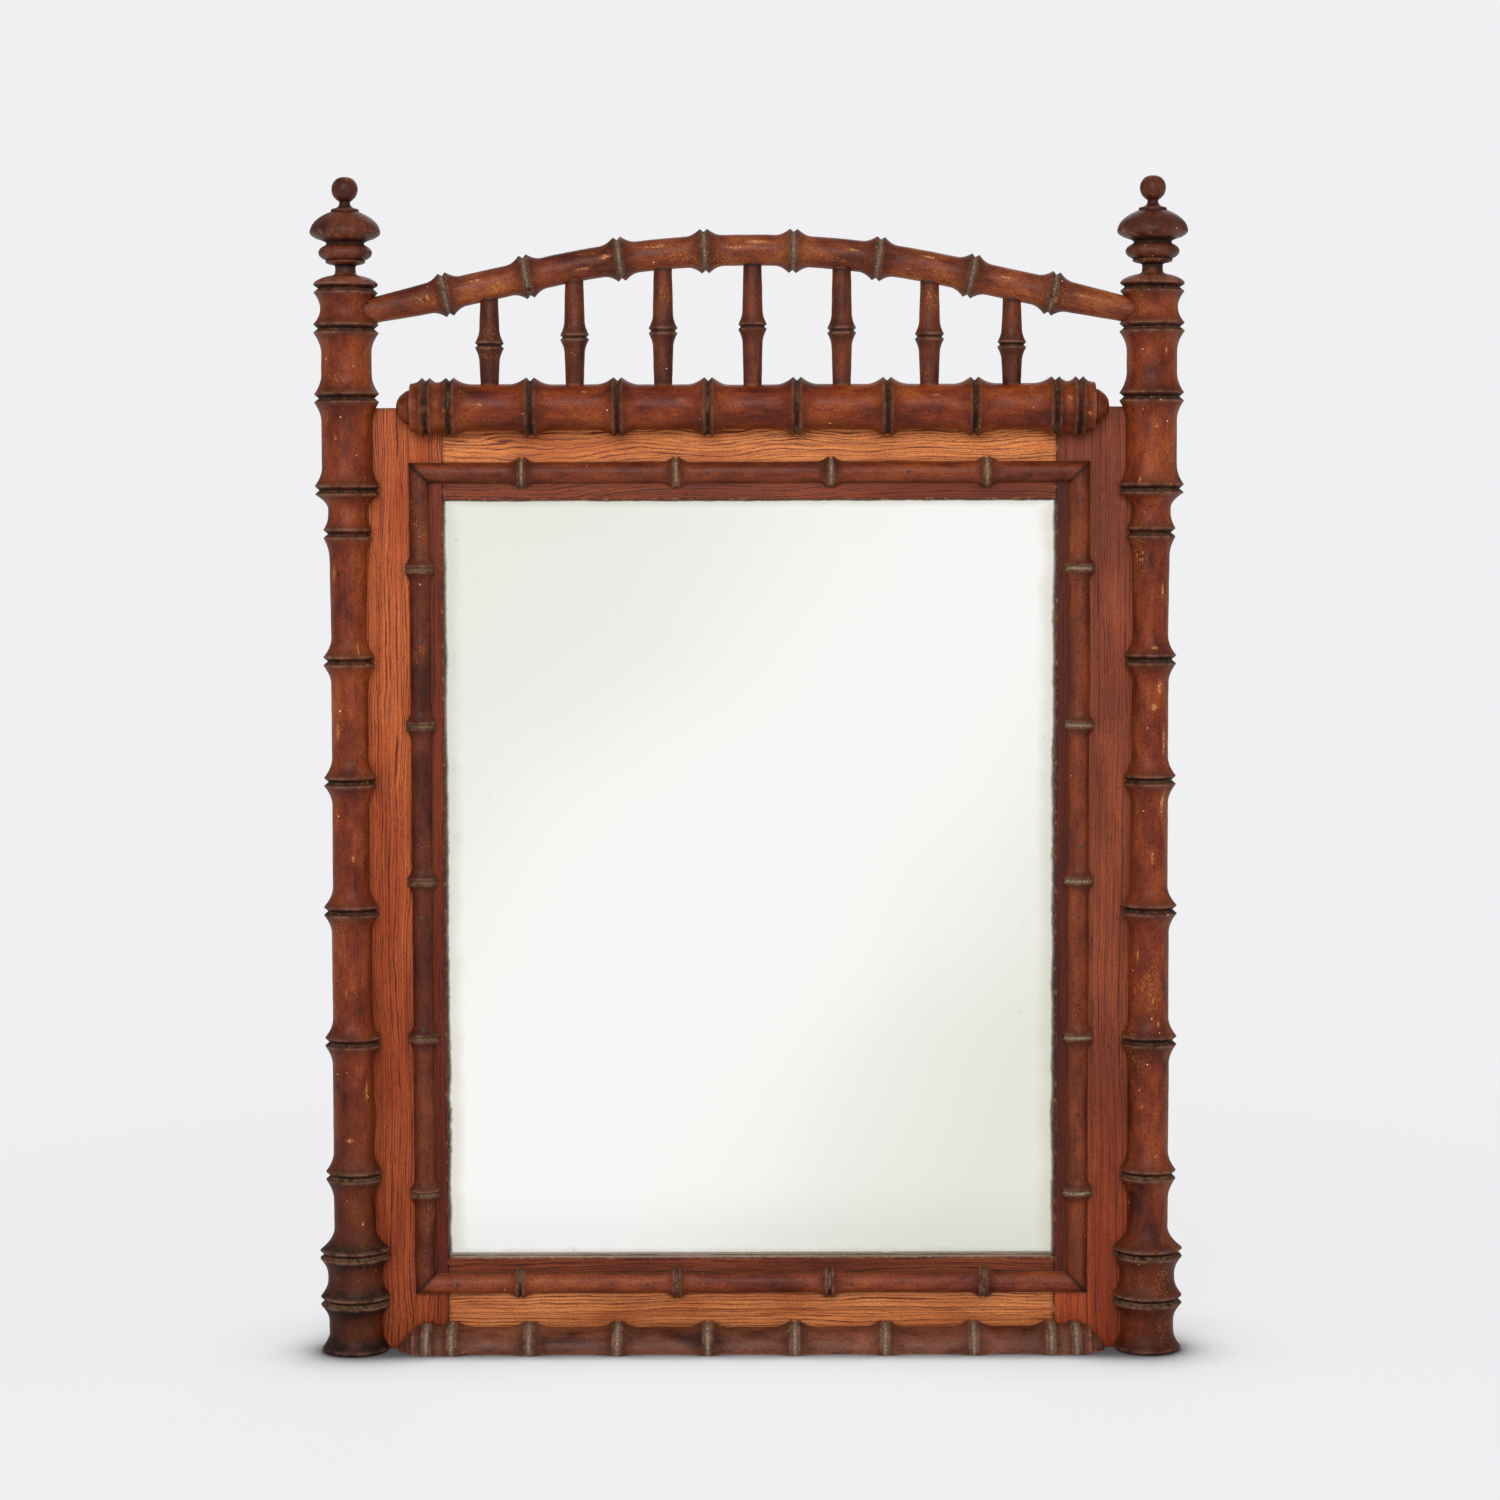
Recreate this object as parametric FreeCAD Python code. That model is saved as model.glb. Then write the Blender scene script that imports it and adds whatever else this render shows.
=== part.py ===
import FreeCAD, Part
import math
import os
from FreeCAD import Vector, Rotation, Placement

os.makedirs("parts", exist_ok=True)

# Faux bamboo wall mirror: flat pine frame, turned bamboo posts with finials,
# arched crest over a spindle gallery, mitred half-round mouldings round the glass.
# Millimetres, +Z up, the mirror faces -Y.  The frame face is the plane y = 0 while
# building; SHIFT_Y centres the finished object front to back.

# ---------------------------------------------------------------- driving dimensions
SHIFT_Y = 0.3

# flat frame
BOARD_T = 25.0            # thickness of stiles and rails
SIGHT_X = 276.0           # half width of the sight opening, also the stile's inner edge
SIGHT_Z0 = 84.0           # bottom of the sight opening
SIGHT_Z1 = 773.0          # top of the sight opening
FRAME_TOP = 856.0         # top edge of stiles and top rail
STILE_OUT_X = 371.5       # outer edge of the stiles
LIP_T = 10.0              # wood left in front of the glass
GLASS_T = 4.0
BACKBOARD_T = 7.0
GLASS_REBATE = 8.0        # rebate beyond the sight edge for the glass
BOARD_REBATE = 16.0       # wider, shallower rebate for the backboards
GLASS_CLEAR = 1.0
TENON_L = 45.0
TENON_T = 9.0
TENON_Y0 = 8.0
TENON_TOP_Z = (795.0, 845.0)
TENON_BOT_Z = (12.0, 62.0)

# turned work
AXIS_X = 360.5            # post axis
AXIS_Y = -6.0             # plane of the post and base rail axes
GALLERY_Y = -10.0         # plane of the crest rail, spindle and gallery rail axes
FIT = 0.05                # radial clearance of pegs in their holes

POST_LIP_HALF = 3.6       # half the distance between the two lips of a ring
POST_V = 4.2              # depth of the V between the lips
POST_RINGS = [            # (height, lip radius), from the bottom up
    (47.0, 31.5), (89.9, 31.7), (161.7, 25.6), (284.0, 25.3), (403.2, 25.1),
    (520.3, 23.8), (629.0, 23.3), (743.2, 22.0), (782.3, 29.2), (864.5, 28.9),
    (926.3, 29.2), (962.0, 28.7)]
POST_WAISTS = [           # (radius at lower end, at upper end) of the bay below each ring
    (24.0, 24.0), (24.7, 24.7), (18.6, 18.6), (18.5, 18.6), (17.9, 17.9),
    (16.7, 16.6), (16.4, 16.4), (15.8, 16.7), (17.4, 17.4), (22.6, 22.6),
    (22.4, 22.4), (22.9, 22.9)]
POST_FLARES = [16.0, 16.0, 20.0, 18.0, 18.0, 18.0, 18.0, 18.0, 14.0, 18.0, 18.0, 14.0]
POST_TOP_Z = 973.5

FINIAL_SPIGOT_R = 6.0
FINIAL_SPIGOT_L = 18.0
FINIAL = [                # (height, radius) from the post top to the ball's crown
    (973.5, 12.4), (974.9, 11.2), (976.7, 9.9), (979.3, 9.7), (981.8, 10.3),
    (983.2, 13.2), (984.6, 15.6), (986.2, 16.1), (987.3, 17.8), (990.0, 21.6),
    (992.6, 23.6), (994.0, 23.9), (995.5, 23.6), (997.9, 22.1), (1000.6, 19.7),
    (1002.4, 18.1), (1003.3, 18.6), (1005.9, 24.8), (1008.6, 28.4), (1011.2, 30.6),
    (1013.9, 31.4), (1016.6, 30.8), (1019.2, 29.6), (1021.9, 27.4), (1024.5, 24.2),
    (1027.2, 19.9), (1029.2, 15.0), (1029.9, 12.9), (1030.6, 12.3), (1032.4, 12.2),
    (1033.2, 11.0), (1034.2, 7.6), (1035.4, 5.7), (1037.0, 4.8), (1038.3, 4.6),
    (1039.4, 5.2), (1040.5, 6.9), (1043.1, 9.6), (1045.8, 10.9), (1048.5, 11.5),
    (1051.1, 11.5), (1053.8, 10.9), (1056.4, 9.6), (1059.1, 6.8), (1060.4, 3.8),
    (1060.8, 0.0)]

# crest rail: central arc, then tangent straight ends
CREST_R = 848.0
CREST_APEX_Z = 995.3
CREST_ARC_X = 178.6
CREST_NODES = [39.5, 115.5, 198.3, 270.7]
CREST_END_X = 349.5       # end of the tenon, inside the post
CREST_LIP = 19.8
CREST_LIP_HALF = 3.3
CREST_V = 2.8
CREST_WAIST = 13.8
CREST_FLARE = 13.0
CREST_TENON = 19.0        # plain end, let into the post
CREST_END_R = 11.6

# gallery rail and base rail share one pattern
GALLERY_NODES = [39.6, 120.5, 198.5, 270.8, 292.0]
GALLERY_X = 3.0           # the gallery rail sits a little to the right
GALLERY_AXIS_Z = FRAME_TOP
BASE_NODES = [39.5, 121.5, 201.8, 272.1, 294.9]
RAIL_LIP = 26.7
RAIL_LIP_HALF = 3.5
RAIL_V = 3.4
RAIL_WAISTS = [19.9, 20.2, 20.4, 20.8, 22.4]
RAIL_FLARE = 16.0
RAIL_END = [              # (distance beyond the last node, radius)
    (5.4, 24.6), (7.4, 22.8), (10.5, 21.8), (14.0, 21.4), (14.0, 15.7),
    (17.6, 15.0), (20.6, 12.8), (23.8, 9.9), (26.0, 6.3), (26.8, 3.0)]

# spindles
SPINDLE_X = [-232.0, -156.0, -76.8, 3.1, 82.8, 161.3, 234.6]
SPINDLE_NODE_Z = [910.9, 918.2, 923.8, 927.3, 923.8, 918.2, 910.9]
SPINDLE_R = 8.2           # at both ends
SPINDLE_BODY = 9.1        # where the flares of the ring begin
SPINDLE_LIP = 13.0
SPINDLE_LIP_HALF = 2.2
SPINDLE_V = 2.4
SPINDLE_FLARE = 13.0
SPINDLE_PLAIN_TOP = 7.0   # straight lengths at the ends, let into the rails
SPINDLE_PLAIN_BOT = 4.5
SPINDLE_PEG_R = 4.5
SPINDLE_PEG_L = 8.0
SPINDLE_SEAT_TOP = 9.6    # end of the full diameter, below the crest rail's axis
SPINDLE_SEAT_BOT = 17.2   # end of the full diameter, above the gallery rail's axis

# mouldings
MOULD_X = 296.8
MOULD_TOP_Z = 797.8
MOULD_BOT_Z = 60.6
MOULD_R = 9.4
MOULD_LIP = 14.2
MOULD_LIP_HALF = 2.6
MOULD_V = 2.4
MOULD_FLARE = 11.0
MOULD_TOP_NODES = [-204.5, -66.0, 73.2, 213.0]
MOULD_BOT_NODES = [-210.0, -67.4, 71.3, 211.6]
MOULD_SIDE_NODES = [144.0, 286.4, 428.8, 570.2, 711.4]
PIN_TOP_X = [-273.0, -97.4, -38.3, 142.5, 267.0]
PIN_BOT_X = [-267.0, -94.1, 91.6, 268.0]
PIN_SIDE_Z = [92.0, 216.0, 396.0, 460.0, 647.0, 773.0]
PIN_R = 0.8
PIN_HEAD_R = 1.7

# hardware behind
NAIL_R = 1.1
NAIL_HEAD_R = 3.2
NAIL_HEAD_T = 1.1
SCREW_R = 2.2
SCREW_HEAD_R = 4.2
POST_SCREW_Z = [118.0, 345.0, 575.0, 821.0]
RAIL_SCREW_X = [-240.0, -82.0, 82.0, 240.0]
HANG_X = 331.0
HANG_Z = 700.0
RING_WIRE_R = 1.75
RING_HALF_W = 12.75
RING_CORNER = 3.0
RING_DROP = 24.0
RING_OFF = 7.5            # ring axis behind the frame's back
EYE_R = 4.6
EYE_T = 4.0
EYE_SHANK_R = 2.0
EYE_SHANK_L = 18.0

BACK = BOARD_T
LEDGE = BACK - BACKBOARD_T


# ---------------------------------------------------------------- helpers
def block(x0, x1, y0, y1, z0, z1):
    return Part.makeBox(x1 - x0, y1 - y0, z1 - z0, Vector(x0, y0, z0))


def lathe(profile, origin, direction, start=0.0, sweep=360.0):
    """Solid of revolution: profile is (distance along the axis, radius)."""
    pts = [Vector(r, 0, t) for t, r in profile]
    if profile[0][1] > 1e-6:
        pts.insert(0, Vector(0, 0, profile[0][0]))
    if profile[-1][1] > 1e-6:
        pts.append(Vector(0, 0, profile[-1][0]))
    pts.append(pts[0])
    solid = Part.Face(Part.makePolygon(pts)).revolve(
        Vector(0, 0, 0), Vector(0, 0, 1), sweep)
    turn = Rotation(Vector(0, 0, 1), start)
    aim = Rotation(Vector(0, 0, 1), direction)
    solid.Placement = Placement(origin, aim.multiply(turn))
    return solid


def peg(p, direction, length, radius):
    return Part.makeCylinder(radius, length, p, direction)


FLARE_STEPS = (0.16, 0.36, 0.62)


def bay(t0, r0, t1, r1, w0, w1, flare):
    """Concave bay between two lips, without the first lip and with the last."""
    flare = min(flare, 0.5 * (t1 - t0))
    out = []
    for s in FLARE_STEPS:
        out.append((t0 + s * flare, w0 + (r0 - w0) * (1 - s) ** 2))
    out.append((t0 + flare, w0))
    if t1 - t0 > 2 * flare + 0.01:
        out.append((t1 - flare, w1))
    for s in reversed(FLARE_STEPS):
        out.append((t1 - s * flare, w1 + (r1 - w1) * (1 - s) ** 2))
    out.append((t1, r1))
    return out


def half_space(p, n, size=500.0):
    b = Part.makeBox(size, size, size, Vector(-size / 2, -size / 2, 0))
    b.Placement = Placement(p, Rotation(Vector(0, 0, 1), n))
    return b


nodes = {}

# ---------------------------------------------------------------- stiles and rails
def rebate_cut():
    a = block(-SIGHT_X - GLASS_REBATE, SIGHT_X + GLASS_REBATE, LIP_T, BACK + 1,
              SIGHT_Z0 - GLASS_REBATE, SIGHT_Z1 + GLASS_REBATE)
    b = block(-SIGHT_X - BOARD_REBATE, SIGHT_X + BOARD_REBATE, LEDGE, BACK + 1,
              SIGHT_Z0 - BOARD_REBATE, SIGHT_Z1 + BOARD_REBATE)
    return a.fuse(b)


rebate = rebate_cut()


def rail(z0, z1, tenon_z):
    s = block(-SIGHT_X, SIGHT_X, 0, BACK, z0, z1).cut(rebate)
    t = block(-SIGHT_X - TENON_L, SIGHT_X + TENON_L, TENON_Y0, TENON_Y0 + TENON_T,
              tenon_z[0], tenon_z[1])
    return s.fuse(t).removeSplitter()


nodes["rail_top"] = rail(SIGHT_Z1, FRAME_TOP, TENON_TOP_Z)
nodes["rail_bottom"] = rail(0.0, SIGHT_Z0, TENON_BOT_Z)

for side, sx in (("left", -1), ("right", 1)):
    xs = sorted((sx * SIGHT_X, sx * STILE_OUT_X))
    s = block(xs[0], xs[1], 0, BACK, 0, FRAME_TOP).cut(rebate)
    for tz in (TENON_TOP_Z, TENON_BOT_Z):
        ms = sorted((sx * (SIGHT_X - 1), sx * (SIGHT_X + TENON_L + 1.5)))
        s = s.cut(block(ms[0], ms[1], TENON_Y0, TENON_Y0 + TENON_T, tz[0], tz[1]))
    nodes["stile_" + side] = s

# ---------------------------------------------------------------- posts
def post_profile():
    pts = [(0.0, 28.2), (1.2, 29.9), (3.0, 30.6)]
    t, r = 3.0, 30.6
    for (z, lip), (w0, w1), fl in zip(POST_RINGS, POST_WAISTS, POST_FLARES):
        pts += bay(t, r, z - POST_LIP_HALF, lip, w0, w1, fl)
        pts.append((z, lip - POST_V))
        t, r = z + POST_LIP_HALF, lip
        if z < POST_RINGS[-1][0]:
            pts.append((t, r))
    pts += [(964.6, 28.4), (966.2, 28.8), (968.7, 26.4), (971.3, 21.6),
            (972.8, 16.6), (POST_TOP_Z, 12.6)]
    return pts


behind = block(-600, 600, 0, 200, -50, FRAME_TOP)
for side, sx in (("left", -1), ("right", 1)):
    s = lathe(post_profile(), Vector(sx * AXIS_X, AXIS_Y, 0), Vector(0, 0, 1), start=230)
    nodes["post_" + side] = s.cut(behind)

# ---------------------------------------------------------------- finials
for side, sx in (("left", -1), ("right", 1)):
    prof = [(POST_TOP_Z - FINIAL_SPIGOT_L, FINIAL_SPIGOT_R - 0.8),
            (POST_TOP_Z - FINIAL_SPIGOT_L + 1.2, FINIAL_SPIGOT_R),
            (POST_TOP_Z, FINIAL_SPIGOT_R)] + FINIAL
    nodes["finial_" + side] = lathe(prof, Vector(sx * AXIS_X, AXIS_Y, 0), Vector(0, 0, 1))
    hole = peg(Vector(sx * AXIS_X, AXIS_Y, POST_TOP_Z - FINIAL_SPIGOT_L - 1.0),
               Vector(0, 0, 1), FINIAL_SPIGOT_L + 6.0, FINIAL_SPIGOT_R + FIT)
    nodes["post_" + side] = nodes["post_" + side].cut(hole)

# ---------------------------------------------------------------- crest rail
def crest_z(x):
    x = abs(x)
    c = CREST_APEX_Z - CREST_R
    if x <= CREST_ARC_X:
        return c + math.sqrt(CREST_R ** 2 - x ** 2)
    slope = CREST_ARC_X / math.sqrt(CREST_R ** 2 - CREST_ARC_X ** 2)
    return c + math.sqrt(CREST_R ** 2 - CREST_ARC_X ** 2) - slope * (x - CREST_ARC_X)


crest_x = [-CREST_END_X] + [-n for n in reversed(CREST_NODES)] + CREST_NODES + [CREST_END_X]
crest_pts = [Vector(x, GALLERY_Y, crest_z(x)) for x in crest_x]


def crest_chord_z(x):
    for a, b in zip(crest_pts, crest_pts[1:]):
        if a.x <= x <= b.x:
            return a.z + (b.z - a.z) * (x - a.x) / (b.x - a.x)


def unit(v):
    return v.multiply(1.0 / v.Length)


crest = None
n_seg = len(crest_pts) - 1
for i in range(n_seg):
    a, b = crest_pts[i], crest_pts[i + 1]
    length = (b - a).Length
    d = unit(b - a)
    v_r = CREST_LIP - CREST_V
    first, last = i == 0, i == n_seg - 1
    if first or last:
        body = [(0.0, v_r), (CREST_LIP_HALF, CREST_LIP)]
        for q in FLARE_STEPS:
            body.append((CREST_LIP_HALF + q * CREST_FLARE,
                         CREST_WAIST + (CREST_LIP - CREST_WAIST) * (1 - q) ** 2))
        body += [(CREST_LIP_HALF + CREST_FLARE, CREST_WAIST),
                 (length - CREST_TENON, CREST_END_R), (length, CREST_END_R)]
        if first:
            pts = [(length - t, r) for t, r in reversed(body)] + [(length + 4, v_r)]
        else:
            pts = [(-4.0, v_r)] + body
    else:
        pts = [(-4.0, v_r), (0.0, v_r), (CREST_LIP_HALF, CREST_LIP)]
        pts += bay(CREST_LIP_HALF, CREST_LIP, length - CREST_LIP_HALF, CREST_LIP,
                   CREST_WAIST, CREST_WAIST, CREST_FLARE)
        pts += [(length, v_r), (length + 4, v_r)]
    seg = lathe(pts, a, d, start=40)
    if not first:
        prev = unit(a - crest_pts[i - 1])
        n = unit(prev + d)
        seg = seg.cut(half_space(a, n.multiply(-1.0)))
    if not last:
        nxt = unit(crest_pts[i + 2] - b)
        n = unit(d + nxt)
        seg = seg.cut(half_space(b, n))
    crest = seg if crest is None else crest.fuse(seg)
nodes["crest_rail"] = crest

for side, sx in (("left", -1), ("right", 1)):
    tip = Vector(sx * CREST_END_X, GALLERY_Y, crest_z(CREST_END_X))
    inner = Vector(sx * CREST_NODES[-1], GALLERY_Y, crest_z(CREST_NODES[-1]))
    d = unit(inner - tip)
    nodes["post_" + side] = nodes["post_" + side].cut(peg(tip, d, 30.0, CREST_END_R + FIT))

# ---------------------------------------------------------------- gallery and base rails
def rail_profile(knots):
    half = []
    t, r = 0.0, RAIL_WAISTS[0]
    half.append((0.0, RAIL_WAISTS[0]))
    for i, k in enumerate(knots):
        w = RAIL_WAISTS[i]
        if i == 0:
            fl = RAIL_FLARE
            t1 = k - RAIL_LIP_HALF
            half.append((t1 - fl, w))
            for s in reversed(FLARE_STEPS):
                half.append((t1 - s * fl, w + (RAIL_LIP - w) * (1 - s) ** 2))
            half.append((t1, RAIL_LIP))
        else:
            half += bay(t, RAIL_LIP, k - RAIL_LIP_HALF, RAIL_LIP, w, w, RAIL_FLARE)
        half.append((k, RAIL_LIP - RAIL_V))
        t = k + RAIL_LIP_HALF
        half.append((t, RAIL_LIP))
    half += [(knots[-1] + d, r) for d, r in RAIL_END]
    return [(-a, b) for a, b in reversed(half)] + half[1:]


g = lathe(rail_profile(GALLERY_NODES), Vector(GALLERY_X, GALLERY_Y, GALLERY_AXIS_Z), Vector(1, 0, 0), start=215)
nodes["gallery_rail"] = g.cut(block(-600, 600, 0, 100, FRAME_TOP - 100, FRAME_TOP))

b = lathe(rail_profile(BASE_NODES), Vector(0, AXIS_Y, 0), Vector(1, 0, 0), start=90, sweep=180)
nodes["base_rail"] = b.cut(block(-600, 600, 0, 100, -100, 100))

# ---------------------------------------------------------------- spindles
def spindle_profile(x, zn, grow=0.0):
    top = crest_chord_z(x) - SPINDLE_SEAT_TOP
    bot = GALLERY_AXIS_Z + SPINDLE_SEAT_BOT
    r, p = SPINDLE_R + grow, SPINDLE_PEG_R + grow
    pts = [(bot - SPINDLE_PEG_L - 10 * grow, p), (bot, p), (bot, r)]
    if grow == 0.0:
        a = zn - SPINDLE_LIP_HALF
        c = zn + SPINDLE_LIP_HALF
        pts += [(bot + SPINDLE_PLAIN_BOT, SPINDLE_R), (a - SPINDLE_FLARE, SPINDLE_BODY)]
        for s in reversed(FLARE_STEPS):
            pts.append((a - s * SPINDLE_FLARE,
                        SPINDLE_BODY + (SPINDLE_LIP - SPINDLE_BODY) * (1 - s) ** 2))
        pts += [(a, SPINDLE_LIP), (zn, SPINDLE_LIP - SPINDLE_V), (c, SPINDLE_LIP)]
        for s in FLARE_STEPS:
            pts.append((c + s * SPINDLE_FLARE,
                        SPINDLE_BODY + (SPINDLE_LIP - SPINDLE_BODY) * (1 - s) ** 2))
        pts += [(c + SPINDLE_FLARE, SPINDLE_BODY), (top - SPINDLE_PLAIN_TOP, SPINDLE_R)]
    pts += [(top, r), (top, p), (top + SPINDLE_PEG_L + 10 * grow, p)]
    return pts


for i, (x, zn) in enumerate(zip(SPINDLE_X, SPINDLE_NODE_Z)):
    at = Vector(x, GALLERY_Y, 0)
    nodes["spindle_%d" % (i + 1)] = lathe(spindle_profile(x, zn), at, Vector(0, 0, 1), start=30)
    socket = lathe(spindle_profile(x, zn, FIT), at, Vector(0, 0, 1), start=75)
    nodes["crest_rail"] = nodes["crest_rail"].cut(socket)
    nodes["gallery_rail"] = nodes["gallery_rail"].cut(socket)

# ---------------------------------------------------------------- mouldings
def mould_profile(t0, t1, knots):
    pts = [(t0, MOULD_R)]
    for k in knots:
        a, c = k - MOULD_LIP_HALF, k + MOULD_LIP_HALF
        pts.append((a - MOULD_FLARE, MOULD_R))
        for s in reversed(FLARE_STEPS):
            pts.append((a - s * MOULD_FLARE, MOULD_R + (MOULD_LIP - MOULD_R) * (1 - s) ** 2))
        pts += [(a, MOULD_LIP), (k, MOULD_LIP - MOULD_V), (c, MOULD_LIP)]
        for s in FLARE_STEPS:
            pts.append((c + s * MOULD_FLARE, MOULD_R + (MOULD_LIP - MOULD_R) * (1 - s) ** 2))
        pts.append((c + MOULD_FLARE, MOULD_R))
    pts.append((t1, MOULD_R))
    return pts


over = 14.0
corners = {}
for zc, name, knots in ((MOULD_TOP_Z, "moulding_top", MOULD_TOP_NODES),
                        (MOULD_BOT_Z, "moulding_bottom", MOULD_BOT_NODES)):
    m = lathe(mould_profile(-MOULD_X - over, MOULD_X + over, knots),
              Vector(0, 0, zc), Vector(1, 0, 0), start=180, sweep=180)
    inward = -1.0 if name == "moulding_top" else 1.0
    for sx in (-1.0, 1.0):
        m = m.cut(half_space(Vector(sx * MOULD_X, 0, zc), unit(Vector(sx, 0, inward))))
    nodes[name] = m
for side, sx in (("left", -1.0), ("right", 1.0)):
    m = lathe(mould_profile(MOULD_BOT_Z - over, MOULD_TOP_Z + over, MOULD_SIDE_NODES),
              Vector(sx * MOULD_X, 0, 0), Vector(0, 0, 1), start=180, sweep=180)
    m = m.cut(half_space(Vector(sx * MOULD_X, 0, MOULD_TOP_Z), unit(Vector(-sx, 0, 1))))
    m = m.cut(half_space(Vector(sx * MOULD_X, 0, MOULD_BOT_Z), unit(Vector(-sx, 0, -1))))
    nodes["moulding_" + side] = m

# ---------------------------------------------------------------- brads of the mouldings
BACKWARD = Vector(0, 1, 0)
pin_at = []
for x in PIN_TOP_X:
    pin_at.append(("moulding_top", "rail_top", x, MOULD_TOP_Z))
for x in PIN_BOT_X:
    pin_at.append(("moulding_bottom", "rail_bottom", x, MOULD_BOT_Z))
for side, sx in (("left", -1.0), ("right", 1.0)):
    for z in PIN_SIDE_Z:
        pin_at.append(("moulding_" + side, "stile_" + side, sx * MOULD_X, z))
pins = []
for mould, board, x, z in pin_at:
    y0 = -MOULD_R - 0.25
    head = peg(Vector(x, y0, z), BACKWARD, 0.7, PIN_HEAD_R)
    pins.append(head.fuse(peg(Vector(x, y0 + 0.7, z), BACKWARD, 18.0, PIN_R)).removeSplitter())
    hole = peg(Vector(x, y0 - 2.0, z), BACKWARD, 2.7, PIN_HEAD_R + FIT)
    hole = hole.fuse(peg(Vector(x, y0 + 0.7, z), BACKWARD, 18.4, PIN_R + FIT))
    nodes[mould] = nodes[mould].cut(hole)
    nodes[board] = nodes[board].cut(hole)
nodes["moulding_pins"] = Part.makeCompound(pins)

# ---------------------------------------------------------------- glass, blocks, backboards
gx = SIGHT_X + GLASS_REBATE - GLASS_CLEAR
gz0 = SIGHT_Z0 - GLASS_REBATE + GLASS_CLEAR
gz1 = SIGHT_Z1 + GLASS_REBATE - GLASS_CLEAR
nodes["mirror_glass"] = block(-gx, gx, LIP_T, LIP_T + GLASS_T, gz0, gz1)

blocks = []
by0, by1 = LIP_T + GLASS_T, LEDGE
for z in (170.0, 428.0, 686.0):
    for sx in (-1, 1):
        xs = sorted((sx * (SIGHT_X - 3.0), sx * (SIGHT_X + GLASS_REBATE)))
        blocks.append(block(xs[0], xs[1], by0, by1, z - 30, z + 30))
for x in (-150.0, 150.0):
    blocks.append(block(x - 30, x + 30, by0, by1, SIGHT_Z1 - 3.0, SIGHT_Z1 + GLASS_REBATE))
    blocks.append(block(x - 30, x + 30, by0, by1, SIGHT_Z0 - GLASS_REBATE, SIGHT_Z0 + 3.0))
nodes["glazing_blocks"] = Part.makeCompound(blocks)

bx = SIGHT_X + BOARD_REBATE - 0.5
bz0 = SIGHT_Z0 - BOARD_REBATE + 0.5
bz1 = SIGHT_Z1 + BOARD_REBATE - 0.5
PLANK_Z = [bz0, bz0 + 232.0, bz0 + 478.0, bz1]
plank_names = ["backboard_bottom", "backboard_middle", "backboard_top"]
NAIL_X = SIGHT_X + 0.5 * (GLASS_REBATE + BOARD_REBATE)
nails = []
for i, name in enumerate(plank_names):
    z0 = PLANK_Z[i] + (0.6 if i else 0.0)
    z1 = PLANK_Z[i + 1] - (0.6 if i < 2 else 0.0)
    p = block(-bx, bx, LEDGE, BACK, z0, z1)
    rim = [e for e in p.Edges if all(abs(v.Point.y - BACK) < 1e-6 for v in e.Vertexes)]
    p = p.makeChamfer(0.8, rim)
    for sx, side in ((-1, "left"), (1, "right")):
        for f in (0.1, 0.47, 0.9):
            z = z0 + f * (z1 - z0)
            at = Vector(sx * NAIL_X, BACK, z)
            head = peg(at, BACKWARD, NAIL_HEAD_T, NAIL_HEAD_R)
            shank = peg(at - Vector(0, 17.0, 0), BACKWARD, 17.0, NAIL_R)
            nails.append(head.fuse(shank).removeSplitter())
            hole = peg(at - Vector(0, 17.4, 0), BACKWARD, 18.4, NAIL_R + FIT)
            p = p.cut(hole)
            nodes["stile_" + side] = nodes["stile_" + side].cut(hole)
    nodes[name] = p
nodes["backboard_nails"] = Part.makeCompound(nails)

# ---------------------------------------------------------------- screws from the back
def screw(x, z, length, grow=0.0):
    tail = 3.0
    head_h = SCREW_HEAD_R - SCREW_R
    prof = [(0.0, SCREW_HEAD_R + grow), (head_h, SCREW_R + grow),
            (length - tail, SCREW_R + grow), (length + 4 * grow, 0.5 + grow)]
    if grow:
        prof = [(-2.0, SCREW_HEAD_R + grow)] + prof
    s = lathe(prof, Vector(x, BACK, z), Vector(0, -1, 0))
    if not grow:
        s = s.cut(block(x - 6, x + 6, BACK - 0.9, BACK + 1, z - 0.5, z + 0.5))
    return s


post_screws = []
for side, sx in (("left", -1), ("right", 1)):
    for z in POST_SCREW_Z:
        post_screws.append(screw(sx * AXIS_X, z, 38.0))
        hole = screw(sx * AXIS_X, z, 38.0, FIT)
        nodes["stile_" + side] = nodes["stile_" + side].cut(hole)
        nodes["post_" + side] = nodes["post_" + side].cut(hole)
nodes["post_screws"] = Part.makeCompound(post_screws)

rail_screws = []
for board, turned, z in (("rail_top", "gallery_rail", FRAME_TOP - 9.0),
                         ("rail_bottom", "base_rail", 10.0)):
    for x in RAIL_SCREW_X:
        rail_screws.append(screw(x, z, 38.0))
        hole = screw(x, z, 38.0, FIT)
        nodes[board] = nodes[board].cut(hole)
        nodes[turned] = nodes[turned].cut(hole)
nodes["rail_screws"] = Part.makeCompound(rail_screws)

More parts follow.
